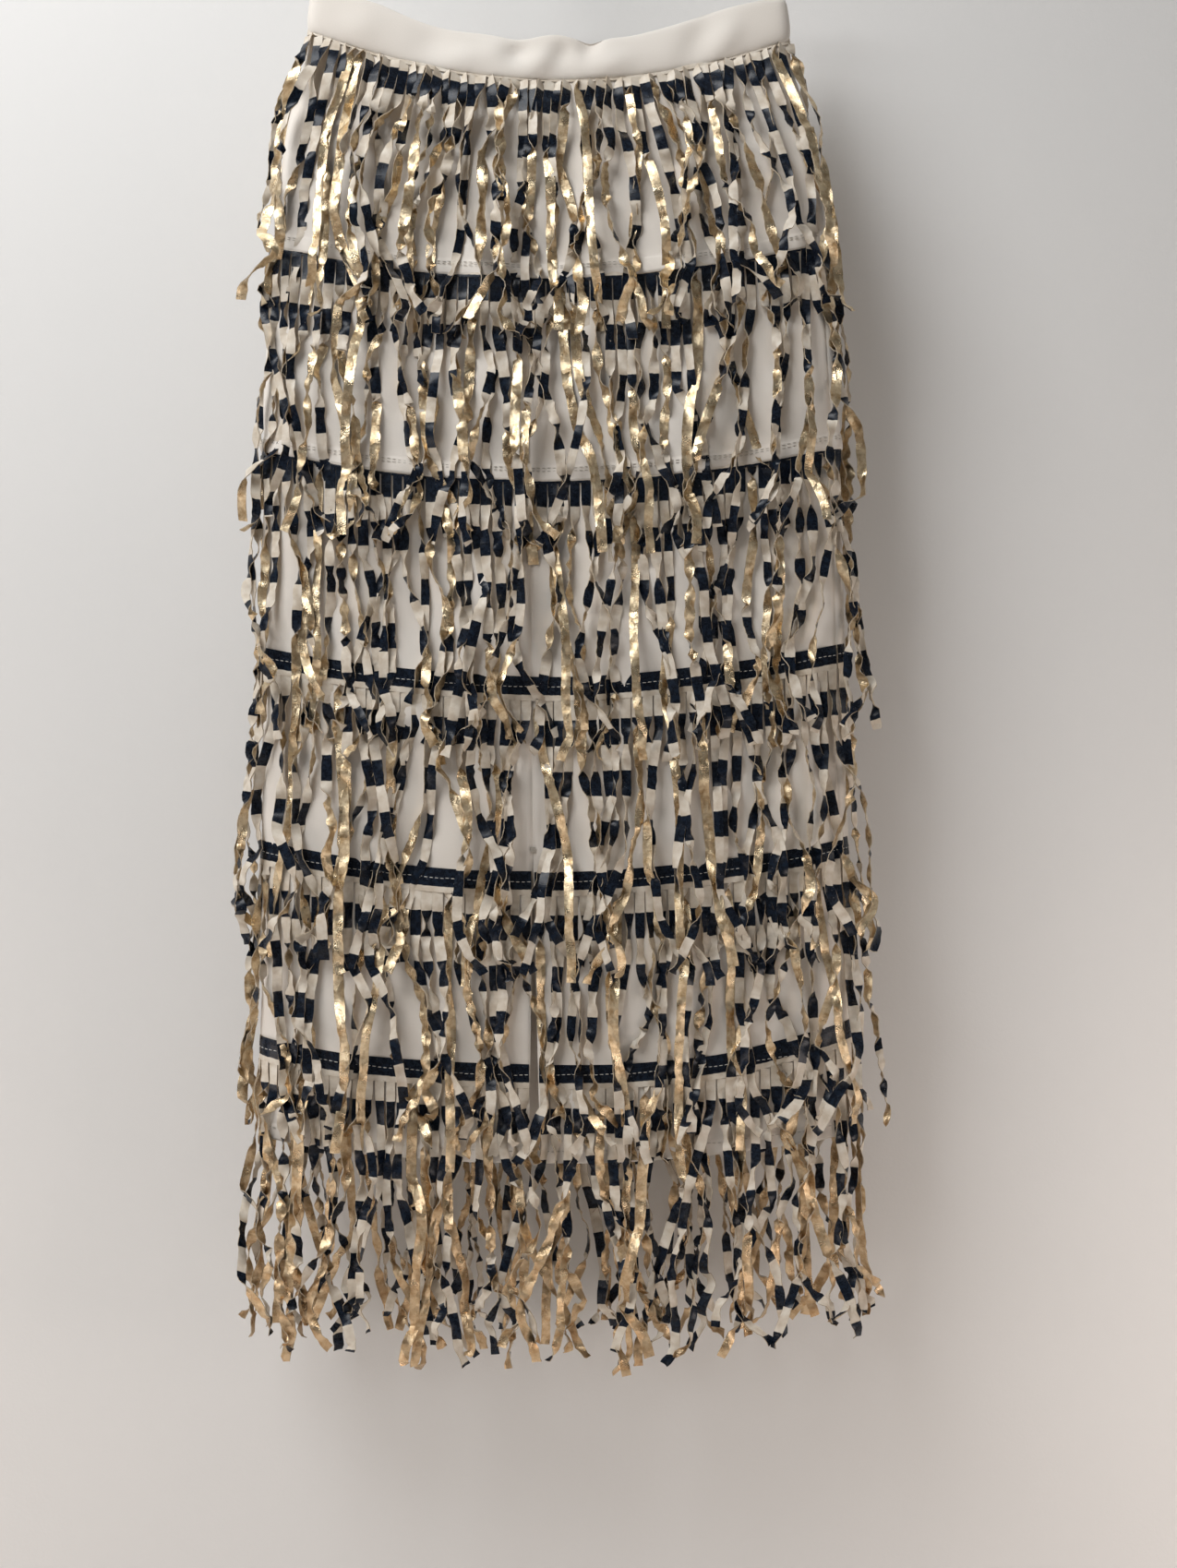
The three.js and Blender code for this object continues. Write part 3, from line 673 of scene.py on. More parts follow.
@dataclass(frozen=True)
class BlockLeather:
    """The face of the fringe leather: navy and ivory blocks, coated and a little creased."""

    name: str = "block_leather"
    navy: Colour = rgba(0.005, 0.0075, 0.0135)
    navy_worn: Colour = rgba(0.009, 0.019, 0.038)
    ivory: Colour = rgba(0.75, 0.69, 0.60)
    ivory_deep: Colour = rgba(0.57, 0.49, 0.39)
    fleck: Colour = rgba(0.55, 0.55, 0.53)
    stray: float = 0.9 * MM  # how far the line between two blocks strays
    navy_roughness: float = 0.26
    ivory_roughness: float = 0.48
    worn_roughness: float = 0.12
    specular: float = 0.2
    coat: float = 0.05
    coat_roughness: float = 0.25
    ridge: float = 0.3
    relief: float = 0.18 * MM

    def material(self) -> Material:
        """Builds the face's material. V runs along the strip, in metres from a block's edge."""
        n = Nodes(self.name)
        place = n.cut()
        lengthwise = n.add("ShaderNodeSeparateXYZ", {0: place}).outputs[1]
        unevenness = n.sum("SUBTRACT", n.noise(n.stretched(place, (300, 40, 1)), 1.0, 1.0), 0.5)
        blocks = n.sum("DIVIDE", n.plus(lengthwise, n.times(unevenness, self.stray)), BLOCK)
        # A ping-pong wave runs 0, 1, 0 over two blocks. Shifted by half a block, it crosses its
        # middle at the line between two blocks. Unshifted, it does so halfway down each block,
        # where a ridge lies.
        is_ivory = n.spread(n.sum("PINGPONG", n.plus(blocks, 0.5), 1.0), 0.49, 0.51, 1.0, 0.0)
        off_middle = n.sum("ABSOLUTE", n.sum("SUBTRACT", n.sum("PINGPONG", blocks, 1.0), 0.5))
        ridge = n.times(n.spread(off_middle, 0.0, 0.02, 1.0, 0.0), self.ridge)
        worn = n.spread(n.noise(place, 260.0, 3.0, 0.7), 0.45, 0.75)
        scuffs = n.noise(n.stretched(place, (1.0, 0.35, 1.0)), 1500.0, 2.0, 0.6)
        navy = n.mix(worn, self.navy, self.navy_worn)
        navy = n.mix(n.spread(scuffs, 0.72, 0.76), navy, self.fleck)
        ivory = n.mix(n.spread(n.noise(place, 120.0, 3.0), 0.35, 0.7), self.ivory_deep, self.ivory)
        gloss = n.spread(is_ivory, 0, 1, self.navy_roughness, self.ivory_roughness)
        creases = n.noise(place, 420.0, 4.0, 0.6)
        return n.finish(
            Base_Color=n.mix(is_ivory, navy, ivory),
            Roughness=n.plus(gloss, n.times(worn, self.worn_roughness)),
            Specular_IOR_Level=self.specular,
            Coat_Weight=self.coat,
            Coat_Roughness=self.coat_roughness,
            Normal=n.bump(n.plus(creases, ridge), self.relief, 0.7),
        )


@dataclass(frozen=True)
class GoldFoil:
    """The reverse of the fringe leather: crinkled gold foil in patches of paler and deeper tone."""

    name: str = "gold_foil"
    bright: Colour = rgba(0.80, 0.66, 0.45)
    deep: Colour = rgba(0.46, 0.31, 0.16)
    # The tint of a painted reflection of a brown floor in the lower foil.
    floor_reflection: Colour = rgba(0.42, 0.22, 0.09)
    facet: float = 5.4 * MM
    tilt: float = 0.44
    fine: float = 0.07
    gloss: tuple[float, float] = (0.2, 0.42)
    dulling: float = 0.08
    floor_reflection_from: float = -0.8  # a painted reflection of a brown floor tints the foil coppery from this height down to the next
    floor_reflection_to: float = -1.05
    floor_reflection_share: float = 0.75

    def material(self) -> Material:
        """Builds the foil's material, with small flat facets that each lean their own way."""
        n = Nodes(self.name)
        place = n.cut()
        # A cell leans the way of its random colour, so its height is that times the place in it.
        scaled = n.stretched(place, (1 / self.facet, 0.7 / self.facet, 1.0))
        cells = n.add("ShaderNodeTexVoronoi", {"Vector": scaled, "Scale": 1.0}, feature="F1")
        lean = n.vectors("SUBTRACT", cells.outputs["Color"], (0.5, 0.5, 0.5))
        inside = n.vectors("SUBTRACT", scaled, cells.outputs["Position"])
        facets = n.vectors("DOT_PRODUCT", lean.outputs[0], inside.outputs[0]).outputs["Value"]
        crinkle = n.noise(place, 900.0, 3.0, 0.6)
        tarnish = n.spread(n.noise(place, 140.0, 4.0, 0.7), 0.42, 0.68)
        # Painted reflection: lower down, the foil is tinted coppery as if it mirrored a brown
        # floor.
        level = n.add("ShaderNodeSeparateXYZ", {0: n.object_place()}).outputs[2]
        low_down = n.spread(level, self.floor_reflection_from, self.floor_reflection_to, 0.0, self.floor_reflection_share)
        floor_reflection_mask = n.times(low_down, n.noise(place, 90.0, 1.0))
        gloss = n.spread(n.noise(place, 60.0, 2.0), 0.38, 0.62, *self.gloss)
        height = n.plus(n.times(facets, self.tilt), n.times(crinkle, self.fine))
        return n.finish(
            Base_Color=n.mix(floor_reflection_mask, n.mix(tarnish, self.bright, self.deep), self.floor_reflection),
            Metallic=1.0,
            Roughness=n.plus(gloss, n.times(crinkle, self.dulling)),
            Normal=n.bump(height, self.facet, 1.0),
        )


@dataclass(frozen=True)
class PlainFinish:
    """A finish with two close tones, a fine grain and its own gloss."""

    name: str
    light: Colour
    deep: Colour
    roughness: float
    grain: float
    relief: float
    metallic: float = 0.0
    sheen: float = 0.0
    gloss_spread: float = 0.15

    def material(self) -> Material:
        """Builds the finish."""
        n = Nodes(self.name)
        tone = n.noise(n.object_place(), 1 / self.grain, 4.0, 0.6)
        low, high = (self.roughness * (1 + way * self.gloss_spread) for way in (-1, 1))
        return n.finish(
            Base_Color=n.mix(n.spread(tone, 0.35, 0.7), self.deep, self.light),
            Metallic=self.metallic,
            Roughness=n.spread(tone, 0.3, 0.7, low, high),
            Sheen_Weight=self.sheen,
            Normal=n.bump(tone, self.relief, 0.5),
        )


EDGE_TONES = rgba(0.52, 0.44, 0.33), rgba(0.30, 0.23, 0.15)
WHITE_TONES = rgba(0.8, 0.79, 0.76), rgba(0.6, 0.58, 0.54)
# The tone-on-tone ivory thread is painted grey-brown: painted shade of the grooves that its
# stitches sink into.
GROOVE_SHADE_TONES = rgba(0.5, 0.47, 0.42), rgba(0.38, 0.35, 0.3)
SATIN_TONES = rgba(0.80, 0.755, 0.68), rgba(0.68, 0.62, 0.53)
STEEL_TONES = rgba(0.62, 0.62, 0.63), rgba(0.5, 0.5, 0.51)
PLAIN_FINISHES: dict[str, PlainFinish] = {
    "cut_edge": PlainFinish("cut_edge", *EDGE_TONES, 0.6, 2 * MM, 0.05 * MM),
    "thread": PlainFinish("white_thread", *WHITE_TONES, 0.7, 0.6 * MM, 0.1 * MM),
    "shaded_thread": PlainFinish("ivory_thread", *GROOVE_SHADE_TONES, 0.7, 0.6 * MM, 0.1 * MM),
    "ribbon": PlainFinish("satin_ribbon", *SATIN_TONES, 0.42, 1 * MM, 0.05 * MM, sheen=0.3),
    "steel": PlainFinish("bright_steel", *STEEL_TONES, 0.24, 30 * MM, 0.004 * MM, metallic=1.0),
}


@dataclass
class Finishes:
    """Every material of the garment, made once."""

    crepe: Material = field(init=False)
    blocks: Material = field(init=False)
    gold: Material = field(init=False)
    cut_edge: Material = field(init=False)
    thread: Material = field(init=False)
    shaded_thread: Material = field(init=False)
    ribbon: Material = field(init=False)
    steel: Material = field(init=False)

    def __post_init__(self) -> None:
        """Builds the materials."""
        self.crepe = Crepe().material()
        self.blocks = BlockLeather().material()
        self.gold = GoldFoil().material()
        for name, finish in PLAIN_FINISHES.items():
            setattr(self, name, finish.material())


# ---- Cloth panels --------------------------------------------------------------------------------


@dataclass(frozen=True)
class Wrinkles:
    """Small soft waves in hanging cloth, longer down than across."""

    seed: int
    height: float = 0.55 * MM
    waves: int = 14
    across: tuple[float, float] = (28, 95)
    down: tuple[float, float] = (70, 260)
    lean: float = 0.6

    def at(self, x: Grid, drop: Grid) -> Grid:
        """How far the cloth stands out, for a length round the body and a drop."""
        rng = np.random.default_rng(self.seed)
        total = np.zeros_like(x)
        for _ in range(self.waves):
            across = rng.uniform(*self.across) * MM
            down = rng.uniform(*self.down) * MM
            lean = rng.uniform(-self.lean, self.lean)
            phase = rng.uniform(0, math.tau, 2)
            wave = np.sin(math.tau * (x + lean * drop) / across + phase[0])
            total += wave * np.sin(math.tau * drop / down + phase[1])
        return total * self.height / math.sqrt(self.waves / 4)


@dataclass
class Panel:
    """One cloth panel from a seam down to a hem or the next seam."""

    name: str
    side: Side
    top: float
    foot: float
    rests_on: tuple[str, ...]
    lapped: bool
    body: Body
    cloth: float = 0.9 * MM
    turning: float = 1 * MM  # how far the panel goes on above its seam
    fold_height: float = 11 * MM
    fold_lift: float = 0.35 * MM
    fold_bend: float = 0.6 * MM
    lap_lift: float = 1.5 * MM
    seam_depth: float = 0.9 * MM
    seam_swell: float = 0.35 * MM
    foot_round: float = 0.7 * MM
    row_step: float = 5 * MM
    foot_rows: tuple[float, ...] = (13, 12, 11.2, 10.6, 10, 8, 6, 5, 4, 3, 2, 1.2, 0.6, 0.2, 0)
    edge_columns: tuple[float, ...] = (0.6, 1.2, 2.4, 4, 6)
    front_columns: int = 41
    back_columns: int = 75

    def _rows(self) -> Grid:
        """The drops of the mesh's rows, closer together at the folded foot."""
        above_fold = self.foot - self.fold_height - 3 * MM
        plain = np.arange(self.top - self.turning, above_fold, self.row_step)
        return np.concatenate([plain, [self.foot - d * MM for d in self.foot_rows]])

    def _turn(self, across: Grid, drop: Grid) -> Grid:
        """The turn for a share across the panel."""
        a, b = side_span(self.side, self.body, np.clip(drop, -WAISTBAND_HEIGHT, HEM_DROP))
        return a + (b - a) * across

    def _width(self, drop: Grid) -> Grid:
        """The panel's width at a drop."""
        return (self._turn(1.0, drop) - self._turn(0.0, drop)) * self.body.girth(drop)

    def _out(self, across: Grid, drop: Grid) -> Grid:
        """How far the panel's face stands off the plain body."""
        line, bend = self.foot - self.fold_height, self.fold_bend
        lift = self.fold_lift * smoothstep(line - bend, line + bend, drop)
        if self.lapped:
            lift = lift + self.lap_lift * smoothstep(self.foot - 16 * MM, self.foot - 3 * MM, drop)
        edge = np.minimum(across, 1 - across) * self._width(drop)
        seam = -self.seam_depth * bump(edge, 1.1 * MM)
        seam = seam + self.seam_swell * bump(edge - 4 * MM, 2.4 * MM)
        rounded = -self.foot_round * smoothstep(self.foot - 1.2 * MM, self.foot, drop)
        ripple = Wrinkles(hash_name(self.name)).at(self._turn(across, drop) * MEAN_GIRTH, drop)
        fade = smoothstep(0, 12 * MM, edge) * smoothstep(self.top, self.top + 25 * MM, drop)
        return lift + seam + rounded + ripple * fade

    def build(self) -> Piece:
        """Makes the panel.

        Returns:
            The panel's object.
        """
        count = self.back_columns if self.side is Side.BACK else self.front_columns
        middle = np.linspace(0, 1, count)
        fine = np.array(self.edge_columns) * MM / float(self._width(self.top + 50 * MM))
        columns = np.unique(np.concatenate([middle, fine, 1 - fine]))

        def shape(across: Grid, drop: Grid) -> Grid:
            """The panel's points."""
            return self.body.place(self._turn(across, drop), drop, self._out(across, drop))[0]

        def cut(across: Grid, drop: Grid) -> Grid:
            """The places on the flat panel."""
            return np.stack([across * self._width(drop), self.foot - drop], axis=-1)

        made = sheet_of(self.name + "_cloth", columns, self._rows(), shape, cut)
        thicken(made, self.cloth, -1)
        shade(made, 50)
        return made

    def dress(self, made: Piece, finishes: Finishes, going: Sequence[Piece]) -> None:
        """Gives the panel its cloth, hangs it under the root and hides the frame's panel.

        Args:
            made: The panel's object.
            finishes: The materials.
            going: Not used.
        """
        declare(made, "cloth", finishes.crepe, node=self.name)
        flat = (float(self._width((self.top + self.foot) / 2)), self.foot - self.top + self.turning)


def hash_name(name: str) -> int:
    """A steady seed from a name."""
    return sum((i + 3) * ord(letter) for i, letter in enumerate(name))


# ---- Waistband -----------------------------------------------------------------------------------


@dataclass
class Waistband:
    """Half of the faced waistband: an outer face, a rolled top and a lining, a little padded."""

    name: str
    side: Face
    body: Body
    wall: float = 2.4 * MM
    proud: float = 0.7 * MM
    half_seam: float = 0.0002  # half the gap at the side seams, in turns
    end_pinch: float = 2.4 * MM
    lining_from: int = 15  # the first step of the section that belongs to the lining
    lining_share: float = 0.35  # how much of a dent the lining takes
    flat: tuple[float, float] = (0.355, 0.068)
    waves: tuple[tuple[float, float, float], ...] = (
        (-0.72, 0.15, 6.0),
        (-0.4, 0.12, -1.0),
        (-0.13, 0.08, -2.2),
        (0.02, 0.08, 2.6),
        (0.17, 0.06, -4.2),
        (0.32, 0.1, -1.5),
        (0.74, 0.24, 6.0),
    )
    dents: tuple[tuple[float, float, float, float, float], ...] = (
        (-0.22, 0.07, 0.55, 0.3, 1.6),
        (-0.13, 0.05, 0.62, 0.22, -3.8),
        (-0.03, 0.055, 0.38, 0.3, 3.4),
        (0.06, 0.045, 0.6, 0.25, -3.4),
        (0.16, 0.045, 0.85, 0.28, -4.4),
        (0.26, 0.08, 0.35, 0.3, 2.6),
        (0.6, 0.07, 0.5, 0.5, -3.0),
        (0.72, 0.06, 0.4, 0.3, 2.6),
        (-0.48, 0.08, 0.5, 0.5, -2.4),
        (-0.34, 0.07, 0.35, 0.3, 1.8),
        (-0.75, 0.08, 0.45, 0.35, 2.2),
    )

    def _share(self, turn: Grid) -> Grid:
        """The place across the face, from -1 to 1."""
        quarter = 4 * (turn - np.round(turn))
        return np.where(np.abs(quarter) <= 1, quarter, np.sign(quarter) * 2 - quarter)

    def _wave(self, share: Grid) -> Grid:
        """How far the top edge lifts."""
        total = sum(height * MM * bump(share - at, breadth) for at, breadth, height in self.waves)
        return smoothstep(0, 0.15, 1 - np.abs(share)) * total

    def _dent(self, share: Grid, up: Grid) -> Grid:
        """The soft dents and swells of the padded face, for a share and a height up the band."""
        total = np.zeros_like(share)
        for at, breadth, high, tall, height in self.dents:
            leaning = share - at - 0.06 * (up - high)
            total += height * MM * bump(leaning, breadth) * bump(up - high, tall)
        return total

    def build(self) -> Piece:
        """Makes the half band.

        Returns:
            The band's object.
        """
        start = -0.25 if self.side is Face.FRONT else 0.25
        columns = np.linspace(start + self.half_seam, start + 0.5 - self.half_seam, 121)
        inner = -(self.wall - self.proud)
        # The band's section, from the seam up the outer face, over the top and down the lining.
        # Each step is a height up the band, in shares of it, and how far out it stands.
        section = [
            (0.012, -1.2 * MM), (-0.014, -0.7 * MM), (-0.034, 0.1 * MM), (-0.034, 0.8 * MM),
            (0.0, 1.7 * MM), (0.05, 2.5 * MM), (0.12, 3.1 * MM), (0.22, 3.5 * MM), (0.35, 3.6 * MM),
            (0.5, 3.3 * MM), (0.65, 2.8 * MM), (0.8, 2.3 * MM), (0.9, 1.8 * MM), (0.96, 1.1 * MM),
            (0.99, 0.3 * MM), (1.0, -0.4 * MM), (0.985, -1.1 * MM), (0.95, -1.5 * MM), (0.8, inner),
            (0.5, inner), (0.2, inner), (0.012, inner),
        ]
        ups, outs = np.array(section).T
        steps = np.arange(len(section), dtype=float)

        def shape(turn: Grid, step: Grid) -> Grid:
            """The band's points."""
            i = step.astype(int)
            up, out = ups[i], outs[i]
            share = self._share(turn)
            facing = np.where(i < self.lining_from, 1.0, self.lining_share)
            ends = smoothstep(0.0, 0.06, 1 - np.abs(share))
            full = out + facing * self._dent(share, up) * ends
            full = full - self.end_pinch * (1 - ends) * facing
            point, _ = self.body.place(turn, -WAISTBAND_HEIGHT * up, full)
            point[:, 2] += self._wave(share) * up
            return point

        runs = np.hypot(np.diff(ups) * WAISTBAND_HEIGHT, np.diff(outs))
        lengths = np.concatenate([[0], np.cumsum(runs)])

        def cut(turn: Grid, step: Grid) -> Grid:
            """The places on the flat strip."""
            return np.stack([turn * WAIST_GIRTH, lengths[step.astype(int)]], axis=-1)

        # The section runs from the foot up, so the columns go the other way to face outwards.
        made = sheet_of(self.name + "_cloth", columns[::-1], steps, shape, cut)
        shade(made, 60)
        return made

    def dress(self, made: Piece, finishes: Finishes) -> None:
        """Gives the band its cloth and hides the frame's band."""
        declare(made, "cloth", finishes.crepe, node=self.name)


# ---- Fringe --------------------------------------------------------------------------------------


@dataclass(frozen=True)
class Parting:
    """A place where the strips hang apart: its middle, width and start, in millimetres."""

    x: float
    width: float
    start: float = 30.0


@dataclass(frozen=True)
class LooseStrip:
    """A gold strip that lies in front: its places across, in millimetres, from root to tip."""

    places: tuple[float, ...]
    gold_from: float = 0.0
    lift: float = 4.0


@dataclass(frozen=True)
class Tier:
    """A tier of fringe: where it starts, how its blocks begin and end, and how it hangs."""

    name: str
    drop: float
    first_block: float
    last_block: float
    band: float
    swing_left: float
    swing_right: float
    split: bool = False
    gathered: bool = False
    pitch: float = 7.9 * MM
    right_rise: float = 0.0  # how far the band's right end is lifted
    gold: float = 0.4
    wildness: float = 1.0
    hangs: float = 1.0
    partings: tuple[Parting, ...] = ()
    loose: tuple[LooseStrip, ...] = ()


@dataclass
class Lay:
    """How the strips of a band want to hang: a row for each strip, a column for each step down.

    x0 is where a strip starts, in metres from the middle, s the length along it and reach the
    whole length. twist turns it about its own line, and curve is how it bends by itself. target is
    how far sideways of its root it wants to be, stand how far off the cloth, and pull how strongly.
    """

    x0: Grid
    s: Grid
    reach: float
    twist: Grid
    curve: Grid
    target: Grid
    stand: Grid
    pull: Grid


@dataclass
class Fringe:
    """A band of double-faced leather over one side of the skirt, cut into strips below its head."""

    tier: Tier
    side: Side
    body: Body
    seed: int
    strip: float = 7.3 * MM
    leather: float = 0.6 * MM
    rows: int = 60
    columns: int = 2
    seam_gap: float = 0.0006  # between two bands, in turns
    head_rows: int = 6
    head_turning: float = 4 * MM
    lean: float = 0.42  # the most that a strip leans sideways, and how far it may stray outwards
    stray: float = 6 * MM
    tip_lean: float = 1.2  # how much more it may lean at its tip
    lean_out: float = 0.6  # the most that it leans outwards or inwards
    draw: float = 12.0  # how strongly a strip is drawn sideways to its place
    draw_gathered: float = 18.0
    draw_loose: float = 36.0
    draw_outwards: float = 14.0
    bend: float = 34.0  # how readily it bends about its width
    bend_sideways: float = 6.0  # and in its own plane, with what its draw adds to that
    bend_drawn: float = 1.1
    clear: float = 0.9 * MM  # how far off the cloth it stays
    clear_on_edge: float = 0.36  # and what share of its width comes to that where it is on edge
    back_calm: float = 0.75
    back_gold: float = 0.8
    cut_step: float = 0.0173  # how far apart the strips lie on the flat cut: no two look alike
    layers: tuple[float, ...] = (0.0, 0.55, 0.25, 0.8, 0.4, 1.0, 0.15, 0.65)  # of neighbours
    layer_spread: tuple[float, float] = (0.6 * MM, 7.4 * MM)  # at the roots, and added at the tips
    tip_stand: float = 4.4 * MM  # how far the tips stand off to clear the next tier
    # Waves down a strip: the least and greatest length in millimetres, and the strength.
    curve_waves: tuple[tuple[float, float, float], ...] = ((70, 130, 6.5), (26, 48, 20.0))
    twist_waves: tuple[tuple[float, float, float], ...] = (
        (80, 150, 1.2), (28, 60, 0.95), (16, 28, 0.5),
    )
    # Kinks in a strip: how many, from which share of its length down, and how sharp in radians.
    kinks: tuple[tuple[int, float, float], ...] = ((11, 0.04, 0.5), (4, 0.7, 1.0))
    turn_over: float = 1.6  # the chance of a first half turn, for each part of the tier's gold
    turn_again: tuple[float, ...] = (0.66, 0.55)
    length_spread: tuple[float, float] = (-9, 4)  # how far the tips lie apart, in millimetres
    width_spread: tuple[float, float] = (0.86, 1.1)  # the least and greatest share of strip
    new_clump: float = 0.4  # the chance that a strip doesn't bend as the one before it does
    wander: float = 3.2  # how far a strip strays to the side, in millimetres
    taper: float = 0.04
    cupping: float = 0.8 * MM

    @property
    def at_back(self) -> bool:
        """Whether this is the back of the skirt."""
        return self.side is Side.BACK

    @property
    def node(self) -> str:
        """The name of the frame's node."""
        return f"fringe_{self.tier.name}_{self.side.value}"

    @property
    def length(self) -> float:
        """How long the band is from its top to the strips' tips."""
        return (self.tier.last_block - self.tier.first_block) * BLOCK

    def span(self) -> tuple[float, float]:
        """The turns where the band starts and ends."""
        a, b = side_span(self.side, self.body, self.tier.drop + 8 * MM, self.seam_gap)
        return float(a), float(b)

    def _head(self) -> Piece:
        """The uncut head of the band.

        Returns:
            A sheet along the band's top.
        """
        a, b = self.span()
        columns = np.linspace(a, b, 1 + int((b - a) * MEAN_GIRTH / (4 * MM)))
        below = np.linspace(0, self.tier.band + 0.4 * MM, self.head_rows)
        rows = np.concatenate([[-self.head_turning], below])
        rng = np.random.default_rng(self.seed + 5)
        phase = rng.uniform(0, 6.28, 3)

        def shape(turn: Grid, down: Grid) -> Grid:
            """The head's points."""
            x = turn * MEAN_GIRTH
            waves = np.sin(x / (9 * MM) + phase[0]) + np.sin(x / (23 * MM) + phase[1])
            ripple = 0.25 * MM * waves
            out = 0.4 * MM + 0.5 * MM * smoothstep(-2 * MM, 1 * MM, down)
            out = out + ripple * smoothstep(0, 12 * MM, down)
            out = out + 0.4 * MM * smoothstep(6 * MM, 16 * MM, down)
            wander = 0.5 * MM * np.sin(x / (31 * MM) + phase[2])
            return self.body.place(turn, self.tier.drop + down + wander - self._rise(turn), out)[0]

        def cut(turn: Grid, down: Grid) -> Grid:
            """The places on the flat band."""
            return np.stack([turn * MEAN_GIRTH, self.tier.first_block * BLOCK + down], axis=-1)

        return sheet_of("head", columns, rows, shape, cut)

    def _rise(self, turn: Grid) -> Grid:
        """How far the band's right end is lifted at a turn."""
        rise = self.tier.right_rise * smoothstep(0.12, 0.24, turn)
        return rise * (1 - smoothstep(0.26, 0.36, turn))

    def _roots(self) -> Grid:
        """The turns of the strips' roots."""
        a, b = self.span()
        girth = float(self.body.girth(self.tier.drop))
        count = int(round((b - a) * girth / self.tier.pitch))
        return a + (b - a) * (np.arange(count) + 0.5) / count

    def _strips(self) -> Piece:
        """The cut strips, each bending, twisting and crumpling on its own.

        Returns:
            All the strips as one mesh of flat ribbons.
        """
        rng = np.random.default_rng(self.seed)
        t, m = self.tier, self.rows + 1
        roots = self._roots()
        n = len(roots)
        wild = t.wildness * (self.back_calm if self.at_back else 1.0)
        reach = self.length - t.band
        length = reach * t.hangs + rng.uniform(*self.length_spread, (n, 1)) * MM
        s = np.linspace(0, 1, m)[None, :] * length
        x0 = (roots * self.body.girth(t.drop + 60 * MM))[:, None]
        clump = np.cumsum(rng.random(n) < self.new_clump)
        twist = self._twists(rng, s, reach)
        curve = self._curves(rng, clump, s, reach) * wild
        wander = rng.normal(0, self.wander, (n, 1)) * MM * smoothstep(20 * MM, 150 * MM, s)
        target = self._partings(x0, s) + wander * wild
        pull = np.full(n, self.draw_gathered if t.gathered else self.draw)
        lay = Lay(x0, s, reach, twist, curve, target, self._stand(rng, s), pull)
        if not self.at_back:
            self._lay_loose(lay)
        place, wide, thick = self._follow(rng, lay)
        self._swing(roots, lay, place)

        drop = t.drop + t.band + place[..., 2] - self._rise(roots)[:, None]
        turn = roots[:, None] + self.body.turns(place[..., 0], drop)
        centre, normal = self.body.place(turn, drop, place[..., 1])
        along = np.stack([-normal[..., 1], normal[..., 0], np.zeros_like(drop)], axis=-1)
        down = np.broadcast_to([0.0, 0.0, -1.0], along.shape)

        def turned(vectors: Grid) -> Grid:
            """Vectors of the strips' own axes, set on the body."""
            return along * vectors[..., 0:1] + normal * vectors[..., 1:2] + down * vectors[..., 2:3]

        return self._ribbons(rng, lay, centre, turned(wide), turned(thick))

    def _follow(self, rng: Draws, lay: Lay) -> tuple[Grid, Grid, Grid]:
        """Follows the strips down from their roots in steps of equal length.

        A strip bends easily about its width and hardly at all in its own plane, so it moves
        sideways mostly where it is twisted. Its own axes are 0 right, 1 outwards and 2 down.

        Args:
            rng: The random stream.
            lay: How the strips want to hang.

        Returns:
            The centrelines' points, the directions across the strips and those out of their faces.
        """
        n, m = lay.s.shape
        step = lay.s[:, -1] / (m - 1)
        place, thick, wide = (np.zeros((n, m, 3)) for _ in range(3))
        place[:, 0, 1] = lay.stand[:, 0]
        run = np.tile([0.0, 0.0, 1.0], (n, 1))
        if self.tier.gathered:
            run = run + np.outer(rng.uniform(0.15, 0.6, n), [0, 1, 0])
            run = unit(run + np.outer(rng.normal(0, 0.1, n), [1, 0, 0]))
        outward = np.array([0.0, 1.0, 0.0])
        for k in range(m):
            flat = unit(outward - run * run[:, 1:2])
            right = np.cross(flat, run)
            c, q = np.cos(lay.twist[:, k])[:, None], np.sin(lay.twist[:, k])[:, None]
            thick[:, k] = flat * c - right * q
            wide[:, k] = right * c + flat * q
            if k == m - 1:
                break
            here = place[:, k]
            across = lay.pull * (lay.target[:, k + 1] - here[:, 0])
            off = self.draw_outwards * (lay.stand[:, k + 1] - here[:, 1])
            wish = unit(np.stack([across, off, np.ones(n)], axis=1))
            bend = lay.curve[:, k] + self.bend * np.sum(wish * thick[:, k], axis=1)
            give = self.bend_sideways + self.bend_drawn * (lay.pull - self.draw)
            sideways = give * np.sum(wish * wide[:, k], axis=1)
            change = bend[:, None] * thick[:, k] + sideways[:, None] * wide[:, k]
            lean = self.lean * (1 + self.tip_lean * smoothstep(0.8, 1.0, np.float64(k / m)))
            run = unit(run + change * step[:, None])
            run = unit(np.clip(run, [-lean, -self.lean_out, 0.5], [lean, self.lean_out, 1.0]))
            place[:, k + 1] = here + run * step[:, None]
            most = lay.stand[:, k + 1] + self.stray
            on_edge = np.abs(np.sin(lay.twist[:, k + 1]))
            least = self.clear + self.clear_on_edge * self.strip * on_edge
            held = np.maximum(np.minimum(place[:, k + 1, 1], most), least * min(1.0, (k + 1) / 6))
            place[:, k + 1, 1] = held
        return place, wide, thick

